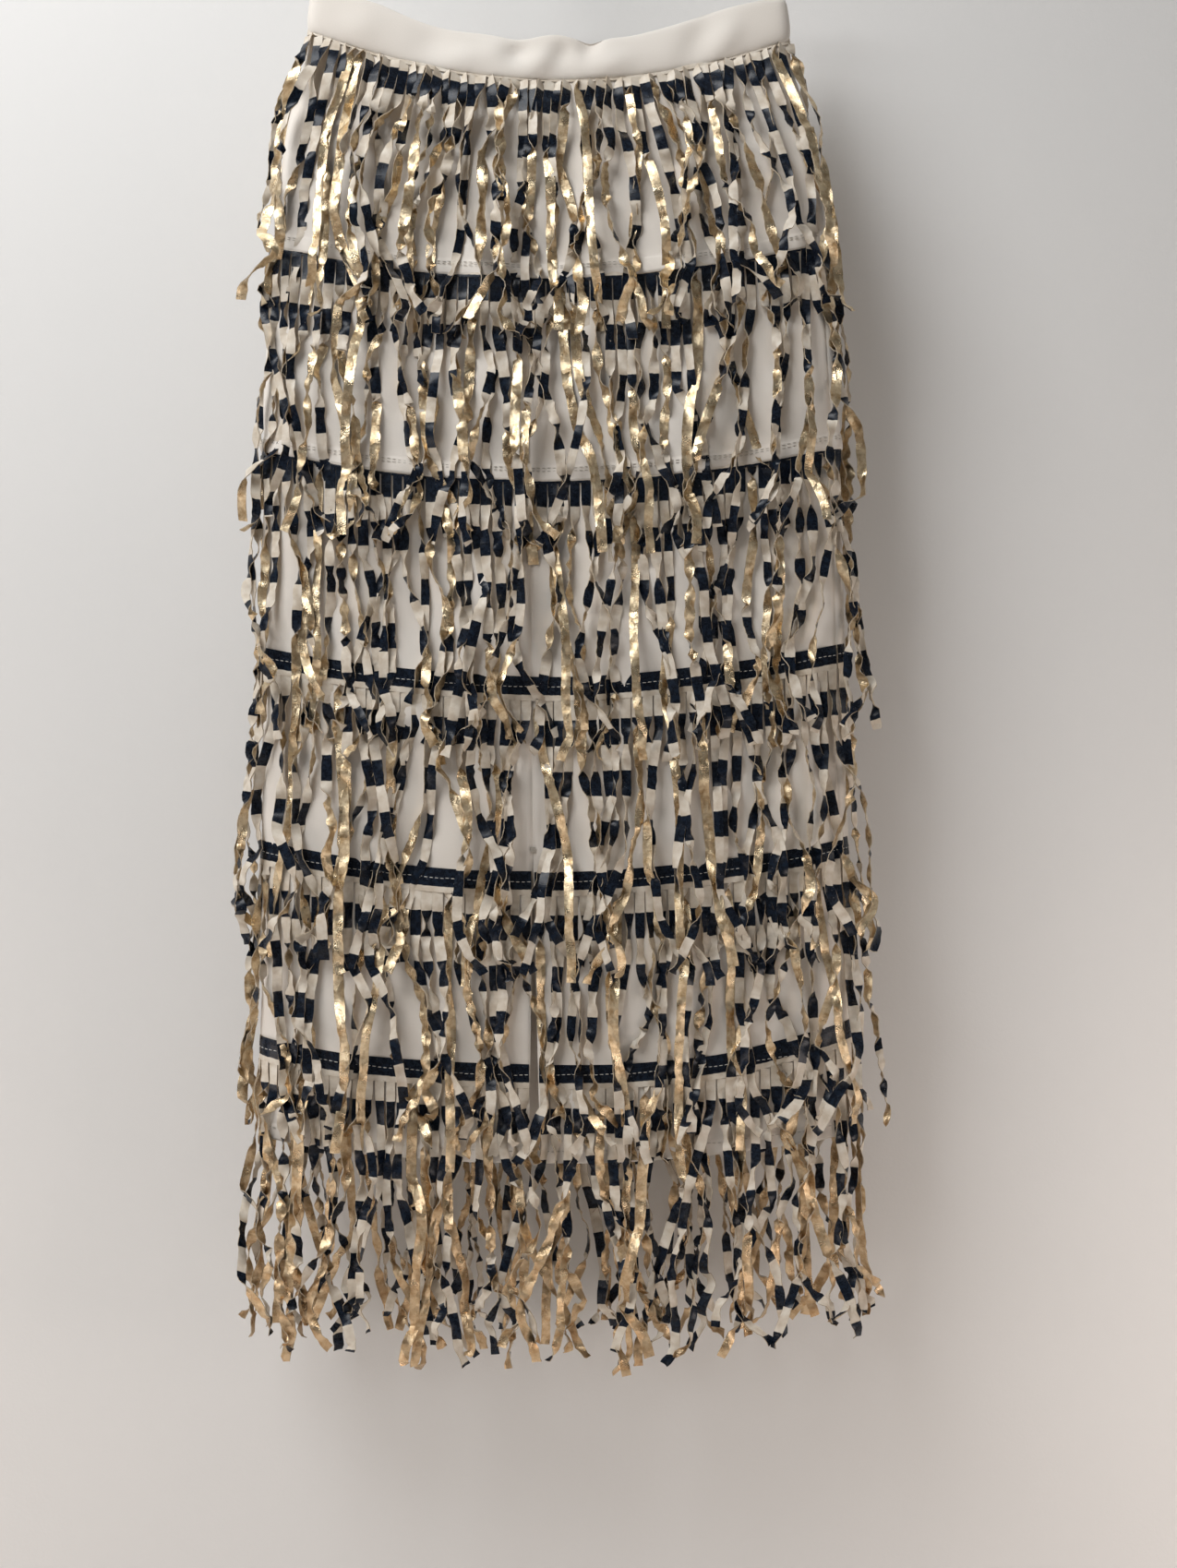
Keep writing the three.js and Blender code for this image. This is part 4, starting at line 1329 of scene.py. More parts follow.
    def _curves(self, rng: Draws, clump: Grid, s: Grid, reach: float) -> Grid:
        """How each strip bends by itself: slow waves that neighbours share, and kinks of its own.

        Args:
            rng: The random stream.
            clump: The clump that each strip belongs to.
            s: Lengths along the strips.
            reach: The strips' whole length.

        Returns:
            The bend at each place, in turns of a radian for each metre.
        """
        n, kinds = len(clump), int(clump.max()) + 1
        down = smoothstep(0, 0.9 * reach, s)
        total = np.zeros_like(s)
        for low, high, strength in self.curve_waves:
            shared = rng.uniform(low, high, kinds)[clump][:, None] * MM
            own = shared * rng.uniform(0.94, 1.06, (n, 1))
            start = rng.uniform(0, math.tau, kinds)[clump][:, None] + rng.normal(0, 0.5, (n, 1))
            size = strength * rng.uniform(0.2, 1.0, (n, 1))
            total += size * np.sin(math.tau * s / own + start) * (0.5 + 0.9 * down)
        for first, sharpness in (kink for count, *kink in self.kinks for _ in range(count)):
            at = rng.uniform(first, 1.0, (n, 1)) * reach
            angle = rng.normal(0, sharpness, (n, 1)) * (0.5 + 0.5 * at / reach)
            narrow = rng.uniform(1.8, 4.0, (n, 1)) * MM
            # A hill's area is 1.77 times its breadth, so the kink turns the strip by its angle.
            total += angle / (1.77 * narrow) * bump(s - at, narrow)
        return total

    def _partings(self, x0: Grid, s: Grid) -> Grid:
        """How far sideways each strip wants to hang, so that the cloth shows in places."""
        target = np.zeros_like(s)
        for parting in self.tier.partings if not self.at_back else ():
            gap = x0 - parting.x * MM
            push = np.sign(gap) * parting.width / 2 * MM * bump(gap, parting.width * 0.9 * MM)
            target = target + push * smoothstep(parting.start * MM, (parting.start + 60) * MM, s)
        return target

    def _stand(self, rng: Draws, s: Grid) -> Grid:
        """How far off the cloth each strip wants to hang: over the next tier, and in layers."""
        layer = self._layers(rng, len(s))[:, None]
        base = self.tip_stand * smoothstep(15 * MM, 180 * MM, s)
        at_root, more = self.layer_spread
        spread = at_root + more * smoothstep(0, 190 * MM, s)
        spread = spread * (self.back_calm if self.at_back else 1.0)
        stand = 1.1 * MM + base + layer * spread * smoothstep(0, 30 * MM, s)
        if self.tier.gathered:
            stand = stand + 1.6 * MM * smoothstep(0, 9 * MM, s)
        return stand

    def _swing(self, roots: Grid, lay: Lay, place: Grid) -> None:
        """Swings the strips at the sides outwards. Changes place."""
        wrapped = roots - np.round(roots)
        sideness = (1 - smoothstep(0, 0.07, np.abs(np.abs(wrapped) - 0.25)))[:, None]
        swing = np.where(wrapped < 0, self.tier.swing_left, self.tier.swing_right)[:, None] * MM
        place[..., 1] += 0.6 * swing * sideness * np.clip(lay.s / lay.reach, 0, 1) ** 1.5

    def _layers(self, rng: Draws, n: int) -> Grid:
        """A depth for each strip, from 0 to 1, that differs from its neighbours'."""
        order = np.array(self.layers)
        return np.clip(order[np.arange(n) % len(order)] + rng.uniform(-0.1, 0.1, n), 0, 1)

    def _twists(self, rng: Draws, s: Grid, reach: float) -> Grid:
        """How far each strip is turned about its own line.

        Args:
            rng: The random stream.
            s: Lengths along the strips.
            reach: The strips' whole length.

        Returns:
            The angle at each place, 0 with the blocks outwards and pi with the gold outwards.
        """
        t, n = self.tier, len(s)
        grown = smoothstep(0, 34 * MM, s)
        twist = rng.normal(0, 0.6, (n, 1)) * grown
        for low, high, size in self.twist_waves:
            spacing = rng.uniform(low, high, (n, 1)) * MM
            wave = np.sin(math.tau * s / spacing + rng.uniform(0, math.tau, (n, 1)))
            twist = twist + rng.uniform(0, size, (n, 1)) * wave * grown
        # Each half turn changes the face that shows, and comes only where the one before it did.
        at = rng.uniform(0.0, 0.72, (n, 1)) ** 1.5 * reach
        turns_over = np.ones((n, 1), dtype=bool)
        first = self.turn_over * t.gold * (self.back_gold if self.at_back else 1.0)
        for chance in (first, *self.turn_again):
            turns_over &= rng.random((n, 1)) < chance
            sign = np.where(rng.random((n, 1)) < 0.5, -1.0, 1.0)
            long = rng.uniform(8, 30, (n, 1)) * MM
            twist = twist + turns_over * sign * math.pi * smoothstep(0, 1, (s - at) / long)
            at = at + long + rng.uniform(0.08, 0.4, (n, 1)) * reach
        if t.gathered:
            twist = twist + rng.uniform(-1.1, 1.1, (n, 1)) * (1 - smoothstep(0, 26 * MM, s))
        return twist

    def _lay_loose(self, lay: Lay) -> None:
        """Sends the tier's named gold strips to their places in front. Changes the lay."""
        for loose in self.tier.loose:
            root = loose.places[0]
            i = int(np.argmin(np.abs(lay.x0[:, 0] - root * MM)))
            if abs(lay.x0[i, 0] - root * MM) > 8 * MM:
                continue
            share = lay.s[i] / lay.reach
            knots = np.linspace(0, 1, len(loose.places))
            lay.target[i] = between(knots, [p * MM for p in loose.places], share) - lay.x0[i, 0]
            lay.stand[i] += loose.lift * MM * smoothstep(0.03, 0.3, share)
            start = loose.gold_from
            lay.twist[i] = math.pi * smoothstep(start - 0.02, start + 0.06, share)
            lay.twist[i] += 0.34 * np.sin(9 * share + 3 * root) + 0.3 * np.sin(31 * share + root)
            lay.curve[i] *= 0.8
            lay.pull[i] = self.draw_loose

    def _ribbons(self, rng: Draws, lay: Lay, centre: Grid, wide: Grid, thick: Grid) -> Piece:
        """Flat strips along their centrelines.

        Args:
            rng: The random stream.
            lay: How the strips hang.
            centre: The centrelines' points, strip by strip.
            wide: The directions across the strips.
            thick: The directions out of the strips' block faces.

        Returns:
            The strips as one mesh.
        """
        n = len(centre)
        made = new_object("strips", lattice(self.columns, self.rows, n))
        at = read_points(made).reshape(n, -1, 3)
        u = at[..., 0] * 2
        j = np.rint((0.5 - at[..., 1]) * self.rows).astype(int)
        i = np.arange(n)[:, None]
        s, gold = lay.s[i, j], np.cos(lay.twist[i, j]) < 0
        width = self.strip * rng.uniform(*self.width_spread, (n, 1))
        half = width / 2 * (1 - self.taper * s / self.length)
        grown = smoothstep(8 * MM, 50 * MM, s)
        cup = rng.uniform(-1, 1, (n, 1)) * self.cupping * grown
        crease = rng.normal(0, 0.3, u.shape) * (1 + 0.6 * gold) * MM * grown
        lift = (cup * (np.abs(u) - 0.4) + crease)[..., None]
        points = centre[i, j] + wide[i, j] * (u * half)[..., None] + thick[i, j] * lift
        points[..., 2] += 0.5 * MM * rng.uniform(-1, 1, (n, 1)) * u * (j == self.rows)
        write_points(made, points.reshape(-1, 3))
        v = self.tier.first_block * BLOCK + self.tier.band + s
        write_uv(made, np.stack([i * self.cut_step + u * half, v], axis=-1).reshape(-1, 2))
        return made

    def build(self) -> Piece:
        """Makes the band with its strips.

        Returns:
            The fringe's object.
        """
        head, strips = self._head(), self._strips()
        both = [strips, head]
        with bpy.context.temp_override(active_object=strips, selected_editable_objects=both):
            bpy.ops.object.join()
        strips.name = self.node + "_leather"
        strips.data.name = strips.name
        return strips

    def dress(self, made: Piece, finishes: Finishes, going: Sequence[Piece]) -> None:
        """Gives the leather its two faces and cut edges, its thickness and its shading, and hides
        the frame's band.

        Args:
            made: The fringe's object.
            finishes: The materials.
            going: Not used.
        """
        faces = (finishes.blocks, finishes.gold, finishes.cut_edge)
        declare(made, "fringe_leather", *faces, node=self.node)
        thicken(made, self.leather, 0, back=1, rim=2)
        shade(made, 48)
        a, b = self.span()
        flat = ((b - a) * float(self.body.girth(self.tier.drop)), self.length)
        self.rests_on()

    def rests_on(self) -> list[str]:
        """The frame's nodes that carry this band."""
        part = {"waist": "yoke", "hip": "mid_panel"}.get(self.tier.name, "lower_panel")
        sides = (Side.FRONT_LEFT, Side.FRONT_RIGHT) if self.side is Side.FRONT else (self.side,)
        return [f"{part}_{side.value}" for side in sides]


# ---- Stitches ------------------------------------------------------------------------------------


@dataclass
class Stitching:
    """A row of separate machine stitches that follows the body at one drop."""

    name: str
    start: float
    end: float
    drop: float
    out: float
    body: Body
    slot: str
    stitch: float = 3.1 * MM
    gap: float = 0.7 * MM
    thickness: float = 0.55 * MM
    waver: float = 0.25 * MM
    jitter: float = 0.06 * MM
    faces: tuple[int, int] = (6, 5)

    def build(self) -> Piece:
        """Makes the stitches as small flattened beads.

        Returns:
            The row's object.
        """
        bm = bmesh.new()
        girth = float(self.body.girth(self.drop))
        count = int((self.end - self.start) * girth / (self.stitch + self.gap))
        turns = self.start + (self.end - self.start) * (np.arange(count) + 0.5) / count
        rng = np.random.default_rng(hash_name(self.name))
        waver = self.waver * np.sin(turns * 190 + rng.uniform(0, 6))
        drops = self.drop + waver + rng.normal(0, self.jitter, count)
        points, normals = self.body.place(turns, drops, self.out)
        ahead, _ = self.body.place(turns + 0.001, drops, self.out)
        size = (self.stitch / 2, self.thickness / 2, self.thickness / 2)
        for point, normal, far in zip(points, normals, ahead):
            add_bead(bm, point, Vector(far - point).normalized(), Vector(normal), size, self.faces)
        return finish_beads(self.name, bm)

    def dress(self, made: Piece, thread: Material) -> None:
        """Gives the stitches their thread."""
        declare(made, self.slot, thread)


@dataclass
class BarTack:
    """A few long stitches, close together, that hold the top of the slit."""

    body: Body
    width: float = 4.6 * MM
    stitches: int = 6
    spacing: float = 0.55 * MM
    thickness: float = 0.8 * MM
    out: float = 1.1 * MM
    faces: tuple[int, int] = (8, 6)

    def build(self) -> Piece:
        """Makes the tack as flattened beads above one another.

        Returns:
            The tack's object.
        """
        bm = bmesh.new()
        size = (self.width / 2, self.spacing * 0.55, self.thickness / 2)
        for k in range(self.stitches):
            drop = np.array([VENT_DROP + (k - self.stitches) * self.spacing])
            point, normal = self.body.place(MIDDLE_SEAM.turn(self.body, drop), drop, self.out)
            outward = Vector(normal[0])
            along = outward.cross(Vector((0, 0, 1))).normalized()
            add_bead(bm, point[0], along, outward, size, self.faces)
        return finish_beads("bar_tack", bm)

    def dress(self, made: Piece, thread: Material) -> None:
        """Gives the tack its thread."""
        declare(made, "cloth", thread)


# ---- Hanger --------------------------------------------------------------------------------------


@dataclass
class Hanger:
    """A plain rod with turned knobs and a wire hook."""

    bar_z: float = -75 * MM
    half_length: float = 186 * MM
    knob: float = 7 * MM
    wire: float = 2 * MM
    crook: float = 20 * MM
    crook_from: float = -25.0  # the crook's two ends, in degrees above the level on the +X side
    crook_to: float = 205.0
    neck: tuple[tuple[float, float], ...] = (  # x and z of the wire below the crook, in millimetres
        (-14.5, -36), (-8, -43.5), (-2.5, -50), (-0.3, -57), (0, -62),
    )
    turning_steps: int = 40

    def build_bar(self) -> Piece:
        """Turns the bar from its outline.

        Returns:
            The bar's object.
        """
        k, end = self.knob, self.half_length
        # The bar's middle, its plain length, a bead, a groove and the round knob: radius and place.
        half = [(BAR_RADIUS, 0.0), (BAR_RADIUS, end - 2.7 * k), (BAR_RADIUS * 1.25, end - 2.5 * k)]
        half += [(BAR_RADIUS * 0.95, end - 2.25 * k)]
        angles = np.linspace(0.62, math.pi, 12)
        half += [(k * math.sin(a), end - k - k * math.cos(a)) for a in angles]
        outline = [(r, -x) for r, x in reversed(half[1:])] + half
        bm = bmesh.new()
        ring = [bm.verts.new((x, 0, r)) for r, x in outline]
        edges = [bm.edges.new(pair) for pair in zip(ring, ring[1:])]
        bmesh.ops.spin(
            bm, geom=[*ring, *edges], cent=(0, 0, 0), axis=(1, 0, 0), angle=math.tau,
            steps=self.turning_steps, use_merge=True,
        )
        bmesh.ops.remove_doubles(bm, verts=bm.verts, dist=0.005 * MM)
        bmesh.ops.recalc_face_normals(bm, faces=bm.faces)
        bmesh.ops.translate(bm, verts=bm.verts, vec=(0, 0, self.bar_z))
        made = new_object("bar_rod", bm)
        shade(made, 35)
        return made

    def build_hook(self) -> Piece:
        """Bends the hook's wire.

        Returns:
            The hook's object.
        """
        path = [self._on_crook(a) for a in np.linspace(self.crook_from, self.crook_to, 40)]
        path += [(x * MM, z * MM) for x, z in self.neck]
        path += [(0, self.bar_z + BAR_RADIUS - 0.5 * MM)]
        curve = bpy.data.curves.new("hook_line", "CURVE")
        curve.dimensions = "3D"
        curve.bevel_depth = self.wire
        curve.bevel_resolution = 5
        curve.use_fill_caps = True
        line = curve.splines.new("POLY")
        line.points.add(len(path) - 1)
        for point, (x, z) in zip(line.points, path):
            point.co = (x, 0, z, 1)
        source = link_new("hook_line", curve)
        graph = bpy.context.evaluated_depsgraph_get()
        mesh = bpy.data.meshes.new_from_object(source.evaluated_get(graph))
        bpy.data.objects.remove(source)
        made = link_new("hook_wire", mesh)
        self._add_fittings(made)
        shade(made, 45)
        return made

    def _on_crook(self, degrees: float) -> tuple[float, float]:
        """The crook's x and z at an angle."""
        angle, radius = math.radians(degrees), self.crook + self.wire
        return radius * math.cos(angle), -self.crook + radius * math.sin(angle)

    def _add_fittings(self, made: Piece) -> None:
        """Adds the rounded tip of the wire and the collar where it enters the bar."""
        bm = bmesh.new()
        bm.from_mesh(made.data)
        x, z = self._on_crook(self.crook_from)
        tip = Matrix.Translation((x, 0, z))
        size = self.wire * 1.5
        bmesh.ops.create_uvsphere(bm, u_segments=20, v_segments=12, radius=size, matrix=tip)
        foot = self.bar_z + BAR_RADIUS
        collar = bmesh.ops.create_cone(
            bm, segments=28, radius1=self.wire * 2.1, radius2=self.wire * 1.35, depth=5 * MM,
            cap_ends=True, matrix=Matrix.Translation((0, 0, foot + 1.8 * MM)),
        )
        edges = {edge for vert in collar["verts"] for edge in vert.link_edges}
        rims = {edge for edge in edges if len(edge.link_faces) == 2}
        caps = [edge for edge in rims if any(len(face.verts) > 4 for face in edge.link_faces)]
        bmesh.ops.bevel(
            bm, geom=caps, offset=0.6 * MM, segments=3, profile=0.5, affect="EDGES", material=-1,
            clamp_overlap=True,
        )
        bmesh.ops.recalc_face_normals(bm, faces=bm.faces)
        bm.to_mesh(made.data)
        bm.free()

    def dress(self, bar: Piece, hook: Piece, finishes: Finishes) -> None:
        """Gives the bar and the hook their metal."""
        for made, node in ((bar, "hanger_bar"), (hook, "hanger_hook")):
            made.data.materials.clear()
            declare(made, "hanger_metal", finishes.steel, node=node)


@dataclass
class RibbonLoop:
    """A narrow satin ribbon over the bar, sewn doubled inside the waistband's back."""

    node: str
    width: float = 6 * MM
    ribbon: float = 0.7 * MM
    ply: float = 0.55 * MM  # how far each half of the doubled tail lies from its middle
    neck_drop: float = 18 * MM
    past_level: float = 0.3  # how far past the level the ribbon goes round the bar, in radians
    easings: int = 3
    grain: float = 0.5 * MM

    def build(self) -> Piece:
        """Makes the loop along the middle of its node's ribbon.

        Returns:
            The loop's object.
        """
        low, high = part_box(self.node)
        middle = (low.x + high.x) / 2
        ring = (high.y - low.y) / 2
        top_z = high.z - ring
        tail = self._tail_depth()
        half = ring - 0.5 * MM
        neck = top_z - self.neck_drop
        angles = np.linspace(-self.past_level, math.pi + self.past_level, 26)
        path = [(tail - self.ply, low.z), (tail - self.ply, neck)]
        path += [(-half * math.cos(a), top_z + half * math.sin(a)) for a in angles]
        path += [(tail + self.ply, neck), (tail + self.ply, low.z)]
        points = np.array(path)
        # The corners are eased so that the ribbon bends and doesn't fold.
        for _ in range(self.easings):
            eased = np.repeat(points, 2, axis=0)
            eased[1:-1:2] = points[:-1] * 0.75 + points[1:] * 0.25
            eased[2::2] = points[:-1] * 0.25 + points[1:] * 0.75
            points = eased
        rows = np.arange(len(points), dtype=float)
        columns = np.linspace(-0.5, 0.5, 5)

        def shape(across: Grid, row: Grid) -> Grid:
            """The ribbon's points."""
            i = row.astype(int)
            return np.stack([middle + across * self.width, points[i, 0], points[i, 1]], axis=-1)

        def cut(across: Grid, row: Grid) -> Grid:
            """The places on the flat ribbon."""
            return np.stack([across * self.width, row * self.grain], axis=-1)

        made = sheet_of(self.node + "_ribbon", columns, rows, shape, cut)
        thicken(made, self.ribbon, 0)
        shade(made, 50)
        return made

    def _tail_depth(self) -> float:
        """Where the doubled tail lies, from the node's lowest points."""
        low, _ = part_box(self.node)
        points = [v.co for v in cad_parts[self.node].data.vertices]
        tail = [p.y for p in points if p.z < low.z + 1 * MM]
        return (min(tail) + max(tail)) / 2

    def dress(self, made: Piece, finishes: Finishes) -> None:
        """Gives the loop its satin and hides the frame's ribbon."""
        declare(made, "ribbon", finishes.ribbon, node=self.node)


# ---- Studio --------------------------------------------------------------------------------------


@dataclass(frozen=True)
class SoftLight:
    """A soft rectangular light that looks at a point."""

    name: str
    place: tuple[float, float, float]
    aim: tuple[float, float, float]
    size: tuple[float, float]
    power: float
    colour: tuple[float, float, float]


@dataclass
class Studio:
    """A pale floor, a plain pale wall behind the skirt, soft lights and the camera."""

    camera_distance: float = 1.42
    view_height: float = 1.138  # how much the view takes in from top to bottom at the skirt
    sensor: float = 24.0
    aim: tuple[float, float] = (0.025, -0.668)
    roll: float = 0.385
    wall_y: float = 0.075
    floor_z: float = -1.42
    floor_half: float = 4.0
    wall_half: float = 1.9
    floor_colour: Colour = rgba(0.80, 0.75, 0.71)
    wall_colour: Colour = rgba(0.78, 0.77, 0.755)
    room_colour: Colour = rgba(0.80, 0.80, 0.79)
    room_low: float = 0.08  # the surroundings' strength below and overhead
    room_high: float = 0.28
    soft_lights: tuple[SoftLight, ...] = (
        SoftLight("window", (-0.85, -0.95, 0.72), (0, 0, -0.28), (1.0, 1.0), 28, (0.98, 0.99, 1)),
        SoftLight(
            "bounce_left", (-1.0, -0.5, -1.0), (-0.35, 0.075, -1.32), (0.5, 0.3), 1.9,
            (1, 0.9, 0.84),
        ),
        SoftLight(
            "bounce_right", (1.0, -0.5, -1.0), (0.35, 0.075, -1.32), (0.5, 0.3), 3.0,
            (1, 0.88, 0.81),
        ),
        SoftLight("behind", (0.9, 1.7, 0.3), (0, 0, -0.6), (1.2, 1.2), 12, (1, 0.98, 0.95)),
    )

    def camera(self) -> None:
        """Sets the camera square to the skirt, a little rolled."""
        data = bpy.data.cameras.new("camera")
        data.sensor_fit = "VERTICAL"
        data.sensor_height = self.sensor
        data.lens = self.sensor * self.camera_distance / self.view_height
        data.clip_start = 0.02
        data.clip_end = 50
        made = link_new("camera", data)
        made.location = (self.aim[0], -self.camera_distance, self.aim[1])
        made.rotation_euler = (math.radians(90), math.radians(self.roll), 0)
        bpy.context.scene.camera = made

    def _plaster(self, name: str, light: Colour, one_sided: bool) -> Material:
        """A pale matte surface, which may be open to the eye from behind."""
        n = Nodes(name)
        place = n.object_place()
        darker = rgba(*(part * 0.95 for part in light[:3]))
        pits = n.noise(place, 420.0, 4.0, 0.65)
        colour = n.mix(n.noise(place, 2.2, 3.0), darker, light)
        material = n.finish(Base_Color=colour, Roughness=0.9, Normal=n.bump(pits, 0.4 * MM, 0.35))
        if one_sided:
            clear = n.add("ShaderNodeBsdfTransparent").outputs[0]
            behind = n.add("ShaderNodeNewGeometry").outputs["Backfacing"]
            chosen = n.add("ShaderNodeMixShader", {0: behind, 1: n.shader.outputs[0], 2: clear})
            n.put(n.tree.nodes["Material Output"].inputs["Surface"], chosen.outputs[0])
        return material

    def _slab(
        self, name: str, half: float, place: Sequence[float], tipped: float, finish: Material
    ) -> Piece:
        """A square surface.

        Args:
            name: Its name.
            half: Half its side.
            place: Its middle.
            tipped: How far it is tipped up, in degrees.
            finish: Its material.

        Returns:
            The surface's object.
        """
        bm = bmesh.new()
        bmesh.ops.create_grid(bm, x_segments=1, y_segments=1, size=half)
        turn = Matrix.Rotation(math.radians(tipped), 3, "X")
        bmesh.ops.rotate(bm, verts=bm.verts, cent=(0, 0, 0), matrix=turn)
        bmesh.ops.translate(bm, verts=bm.verts, vec=place)
        made = new_object(name, bm)
        made.data.materials.append(finish)
        return made

    def room(self) -> None:
        """Makes the floor and the wall."""
        pale = self._plaster("floor_pale", self.floor_colour, False)
        floor = self._slab("floor", self.floor_half, (0, 0, self.floor_z), 0, pale)
        plaster = self._plaster("wall_plaster", self.wall_colour, True)
        middle = (0, self.wall_y, self.floor_z + self.wall_half)
        wall = self._slab("wall", self.wall_half, middle, 90, plaster)
        # The wall throws no shadow, so that the light behind it reaches the skirt's back.
        wall.visible_shadow = False

    def _soft_light(self, soft: SoftLight) -> None:
        """Hangs up a soft light."""
        data = bpy.data.lights.new(soft.name, "AREA")
        data.shape = "RECTANGLE"
        data.size, data.size_y = soft.size
        data.energy = soft.power
        data.color = soft.colour
        made = link_new(soft.name, data)
        made.location = soft.place
        look = Vector(soft.aim) - Vector(soft.place)
        made.rotation_euler = look.to_track_quat("-Z", "Y").to_euler()

    def _surroundings(self) -> None:
        """Sets a dim room that is brighter overhead, so that the foil has something to mirror."""
        world = bpy.data.worlds.new("surroundings")
        world.use_nodes = True
        nodes, links = world.node_tree.nodes, world.node_tree.links
        parts = nodes.new("ShaderNodeSeparateXYZ")
        links.new(nodes.new("ShaderNodeTexCoord").outputs["Generated"], parts.inputs[0])
        ramp = nodes.new("ShaderNodeMapRange")
        links.new(parts.outputs[2], ramp.inputs[0])
        for socket, value in zip(ramp.inputs[1:5], (-0.15, 0.6, self.room_low, self.room_high)):
            socket.default_value = value
        background = nodes["Background"]
        background.inputs["Color"].default_value = self.room_colour
        links.new(ramp.outputs[0], background.inputs["Strength"])
        bpy.context.scene.world = world

    def lights(self) -> None:
        """Sets the soft lights and the dim surroundings."""
        for soft in self.soft_lights:
            self._soft_light(soft)
        self._surroundings()
        bpy.context.scene.view_settings.view_transform = "Standard"


# ---- The skirt -----------------------------------------------------------------------------------


def loose(*places: float, start: float = 0.0, lift: float = 4.0) -> LooseStrip:
    """A gold strip in front of the others, which shows gold from a share of its length."""
    return LooseStrip(places, start, lift)


TIERS: tuple[Tier, ...] = (
    Tier(
        "waist", -1 * MM, 1.45, 13.05, 3 * MM, 0, 6, gathered=True, pitch=6.1 * MM, gold=0.43,
        hangs=0.98,
        partings=(Parting(-180, 20, 50), Parting(192, 18, 20)),
        loose=(
            loose(-152, -153, -151, -150), loose(-146, -146, -138, -112, -86, lift=9),
            loose(-1, -2, 3, 0, start=0.25), loose(22, 26, 30, 36, lift=7),
            loose(66, 72, 77, 74, start=0.3), loose(178, 177, 174, 168),
        ),
    ),
    Tier(
        "hip", HIP_DROP, 0.0, 11.7, 1.5 * MM, 1, 12, gold=0.38, hangs=0.98,
        partings=(Parting(-15, 12, 80), Parting(-190, 12, 40)),
        loose=(
            loose(-136, -138, -142, -145), loose(8, 12, 22, 33, 44, lift=7),
            loose(108, 104, 98, 94, 90, lift=6), loose(182, 180, 178, 184, start=0.4),
        ),
    ),
    Tier(
        "thigh", THIGH_DROP, 0.0, 11.7, 1.5 * MM, 5, 24, gold=0.32, hangs=0.98,
        partings=(Parting(-20, 26, 40), Parting(100, 28, 45), Parting(-100, 10, 60)),
        loose=(
            loose(-166, -164, -162, -160), loose(0, 6, 12, 6, start=0.2),
            loose(60, 58, 64, 60, start=0.1),
        ),
    ),
    Tier(
        "knee", KNEE_DROP, 0.5, 13.05, 13 * MM, 7, 16, gold=0.28, hangs=0.98,
        partings=(Parting(104, 20, 60), Parting(-24, 22, 50)),
        loose=(
            loose(-186, -190, -198, -205), loose(-150, -148, -149, -150),
            loose(-46, -49, -54, -62, start=0.2), loose(-10, 4, 12, 11, 10, lift=6),
            loose(86, 88, 87, 88), loose(104, 108, 112, 119, 121),
        ),
    ),
    Tier(
        "calf", CALF_DROP, 0.5, 13.05, 13 * MM, 12, 24, split=True, gold=0.26, hangs=0.92,
        wildness=1.1,
        partings=(Parting(38, 22, 70), Parting(96, 24, 60), Parting(208, 18, 60)),
        loose=(
            loose(-152, -151, -152, -153), loose(-122, -128, -132, -119), loose(-78, -76, -74, -73),
            loose(44, 46, 49, 50), loose(92, 90, 88, 87), loose(122, 124, 128, 135),
            loose(190, 196, 206, 220),
        ),
    ),
    Tier(
        "hem", LAST_DROP, 0.5, 13.05, 13 * MM, 12, 8, split=True, right_rise=9 * MM, gold=0.5,
        hangs=0.96, wildness=1.3,
        partings=(Parting(-16, -10, 10),),
        loose=(loose(-100, -101, -98, -96), loose(62, 58, 54, 60), loose(-180, -184, -186, -182)),
    ),
)


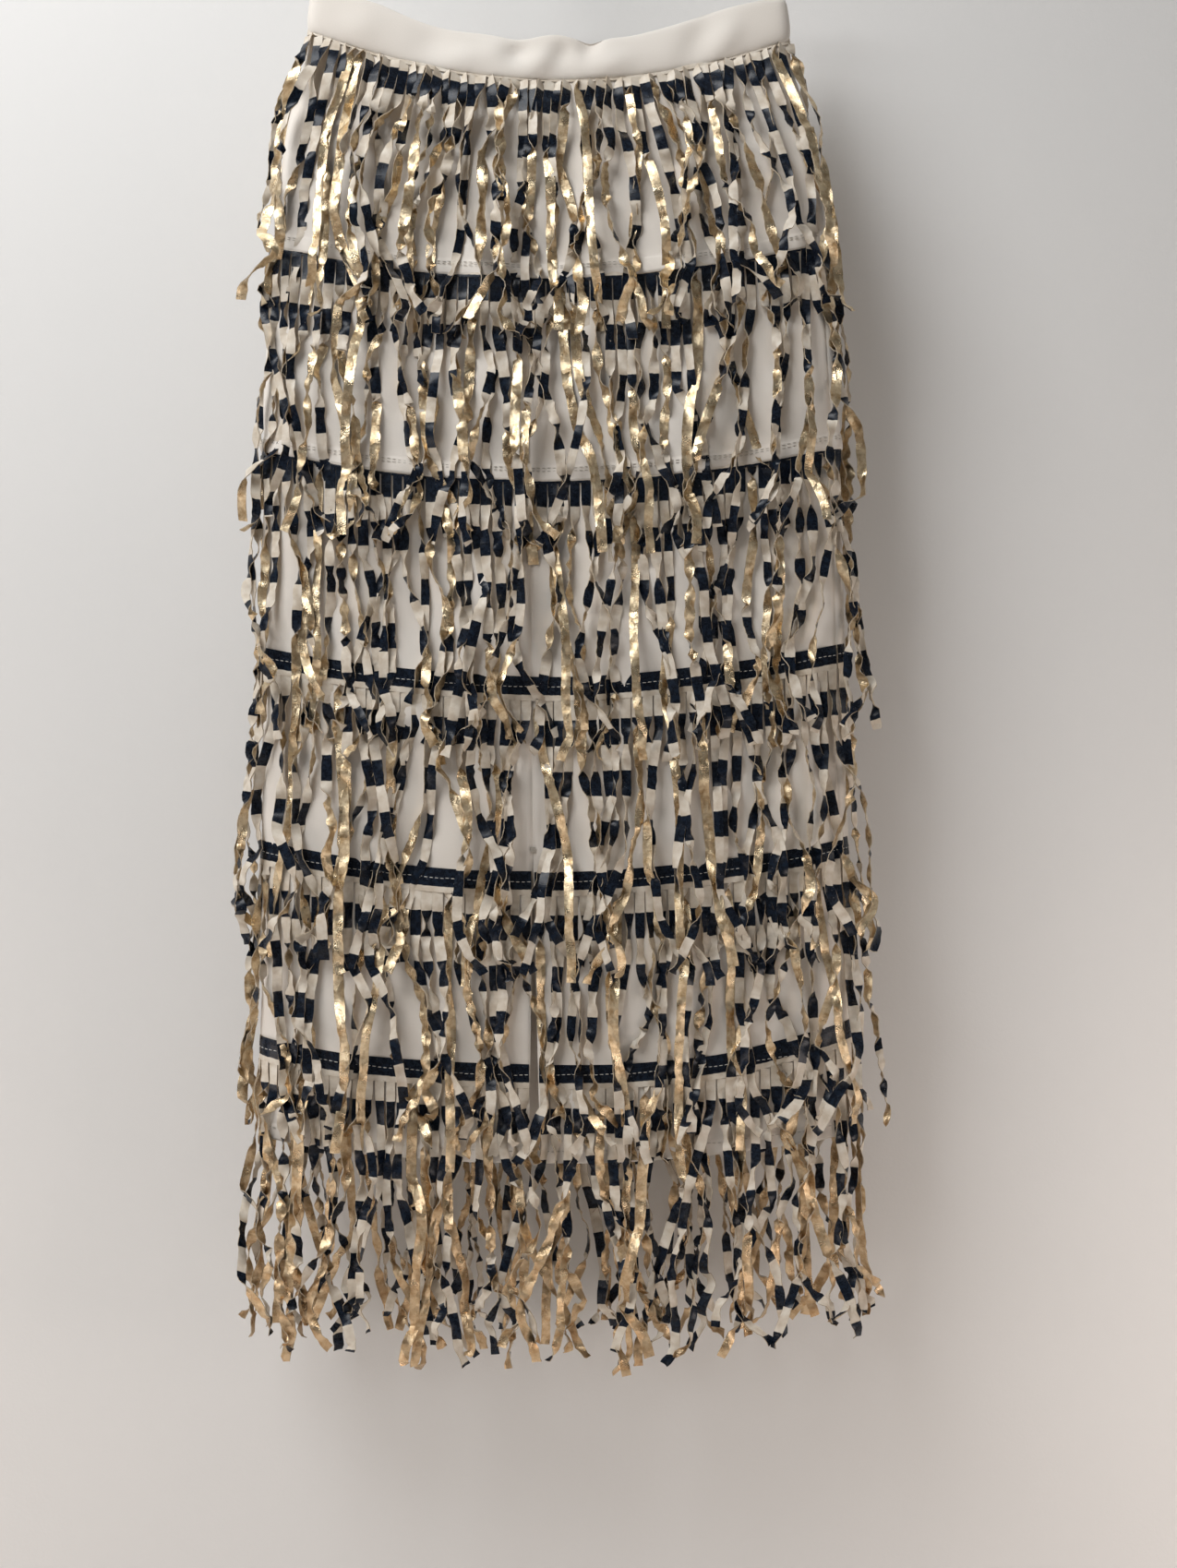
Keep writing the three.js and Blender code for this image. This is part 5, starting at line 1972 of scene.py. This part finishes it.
@dataclass
class Skirt:
    """The whole garment, built from its panels, waistband and tiers."""

    body: Body
    finishes: Finishes
    hem_stitch_up: float = 9 * MM
    hem_stitch_in: float = 0.004  # how far the hem's stitches stop short of a seam, in turns
    hem_stitch_out: float = 0.5 * MM
    lap_stitches: tuple[tuple[float, float], ...] = ((-7.4, 1.9), (-9.4, 1.6))  # mm down and out
    band_stitches: tuple[tuple[float, float], ...] = ((3.4, 1.35),)
    seed: int = 400

    def panels(self) -> None:
        """Makes the nine cloth panels."""
        spans = (
            ("yoke", 0.0, HIP_DROP, True),
            ("mid_panel", HIP_DROP, THIGH_DROP, True),
            ("lower_panel", THIGH_DROP, HEM_DROP, False),
        )
        above = {"mid_panel": "yoke", "lower_panel": "mid_panel"}
        for part, top, foot, lapped in spans:
            for side in CUT_SIDES:
                if part == "yoke":
                    carrier = "waistband_" + ("back" if side is Side.BACK else "front")
                else:
                    carrier = f"{above[part]}_{side.value}"
                name = f"{part}_{side.value}"
                panel = Panel(name, side, top, foot, (carrier,), lapped, self.body)
                made = panel.build()
                panel.dress(made, self.finishes, [] if lapped else self._hem_stitches(side))
                LOG.info("panel %s", made.name)

    def _hem_stitches(self, side: Side) -> list[Piece]:
        """The stitches along a lower panel's hem, and on the left front the slit's bar tack."""
        drop = HEM_DROP - self.hem_stitch_up
        a, b = map(float, side_span(side, self.body, drop, self.hem_stitch_in))
        name = f"stitches_hem_{side.value}"
        row = Stitching(name, a, b, drop, self.hem_stitch_out, self.body, "cloth")
        made = [row.build()]
        # The hem stitches and the bar tack take the thread with painted groove shade.
        row.dress(made[0], self.finishes.shaded_thread)
        if side is Side.FRONT_LEFT:
            tack = BarTack(self.body)
            made.append(tack.build())
            tack.dress(made[1], self.finishes.shaded_thread)
        return made

    def waistband(self) -> None:
        """Makes both halves of the waistband."""
        for name, side in (("waistband_front", Face.FRONT), ("waistband_back", Face.BACK)):
            band = Waistband(name, side, self.body)
            made = band.build()
            band.dress(made, self.finishes)
            LOG.info("waistband %s", made.name)

    def fringe(self) -> None:
        """Makes every tier of fringe with its stitches."""
        for number, tier in enumerate(TIERS):
            for side in CUT_SIDES if tier.split else (Side.FRONT, Side.BACK):
                fringe = Fringe(tier, side, self.body, self.seed + 20 * number + len(side.value))
                made = fringe.build()
                rows = self._stitches(tier, fringe)
                fringe.dress(made, self.finishes, rows)
                LOG.info("fringe %s: %d faces", made.name, len(made.data.polygons))

    def _stitches(self, tier: Tier, fringe: Fringe) -> list[Piece]:
        """The topstitching on or above a band.

        Args:
            tier: The tier.
            fringe: The band over one side.

        Returns:
            The rows of stitches.
        """
        if tier.gathered:
            return []
        a, b = fringe.span()
        above = tier.first_block == 0
        slot = "cloth" if above else "fringe_leather"
        made = []
        for k, (down, out) in enumerate(self.lap_stitches if above else self.band_stitches):
            name = f"stitches_{tier.name}_{fringe.side.value}_{k}"
            row = Stitching(name, a, b, tier.drop + down * MM, out * MM, self.body, slot)
            made.append(row.build())
            # Stitches on the cloth take the thread with painted groove shade.
            row.dress(made[-1], self.finishes.shaded_thread if above else self.finishes.thread)
        return made


def main() -> None:
    """Builds every piece in order, then the room, the lights and the camera."""
    logging.basicConfig(level=logging.INFO, format="%(name)s: %(message)s")
    finishes = Finishes()
    skirt = Skirt(Body(), finishes)
    skirt.panels()
    skirt.waistband()
    skirt.fringe()
    hanger = Hanger()
    hanger.dress(hanger.build_bar(), hanger.build_hook(), finishes)
    for node in LOOPS:
        loop = RibbonLoop(node)
        loop.dress(loop.build(), finishes)
    LOG.info("hanger and loops")
    studio = Studio()
    studio.room()
    studio.lights()
    studio.camera()


if __name__ == "__main__":
    main()
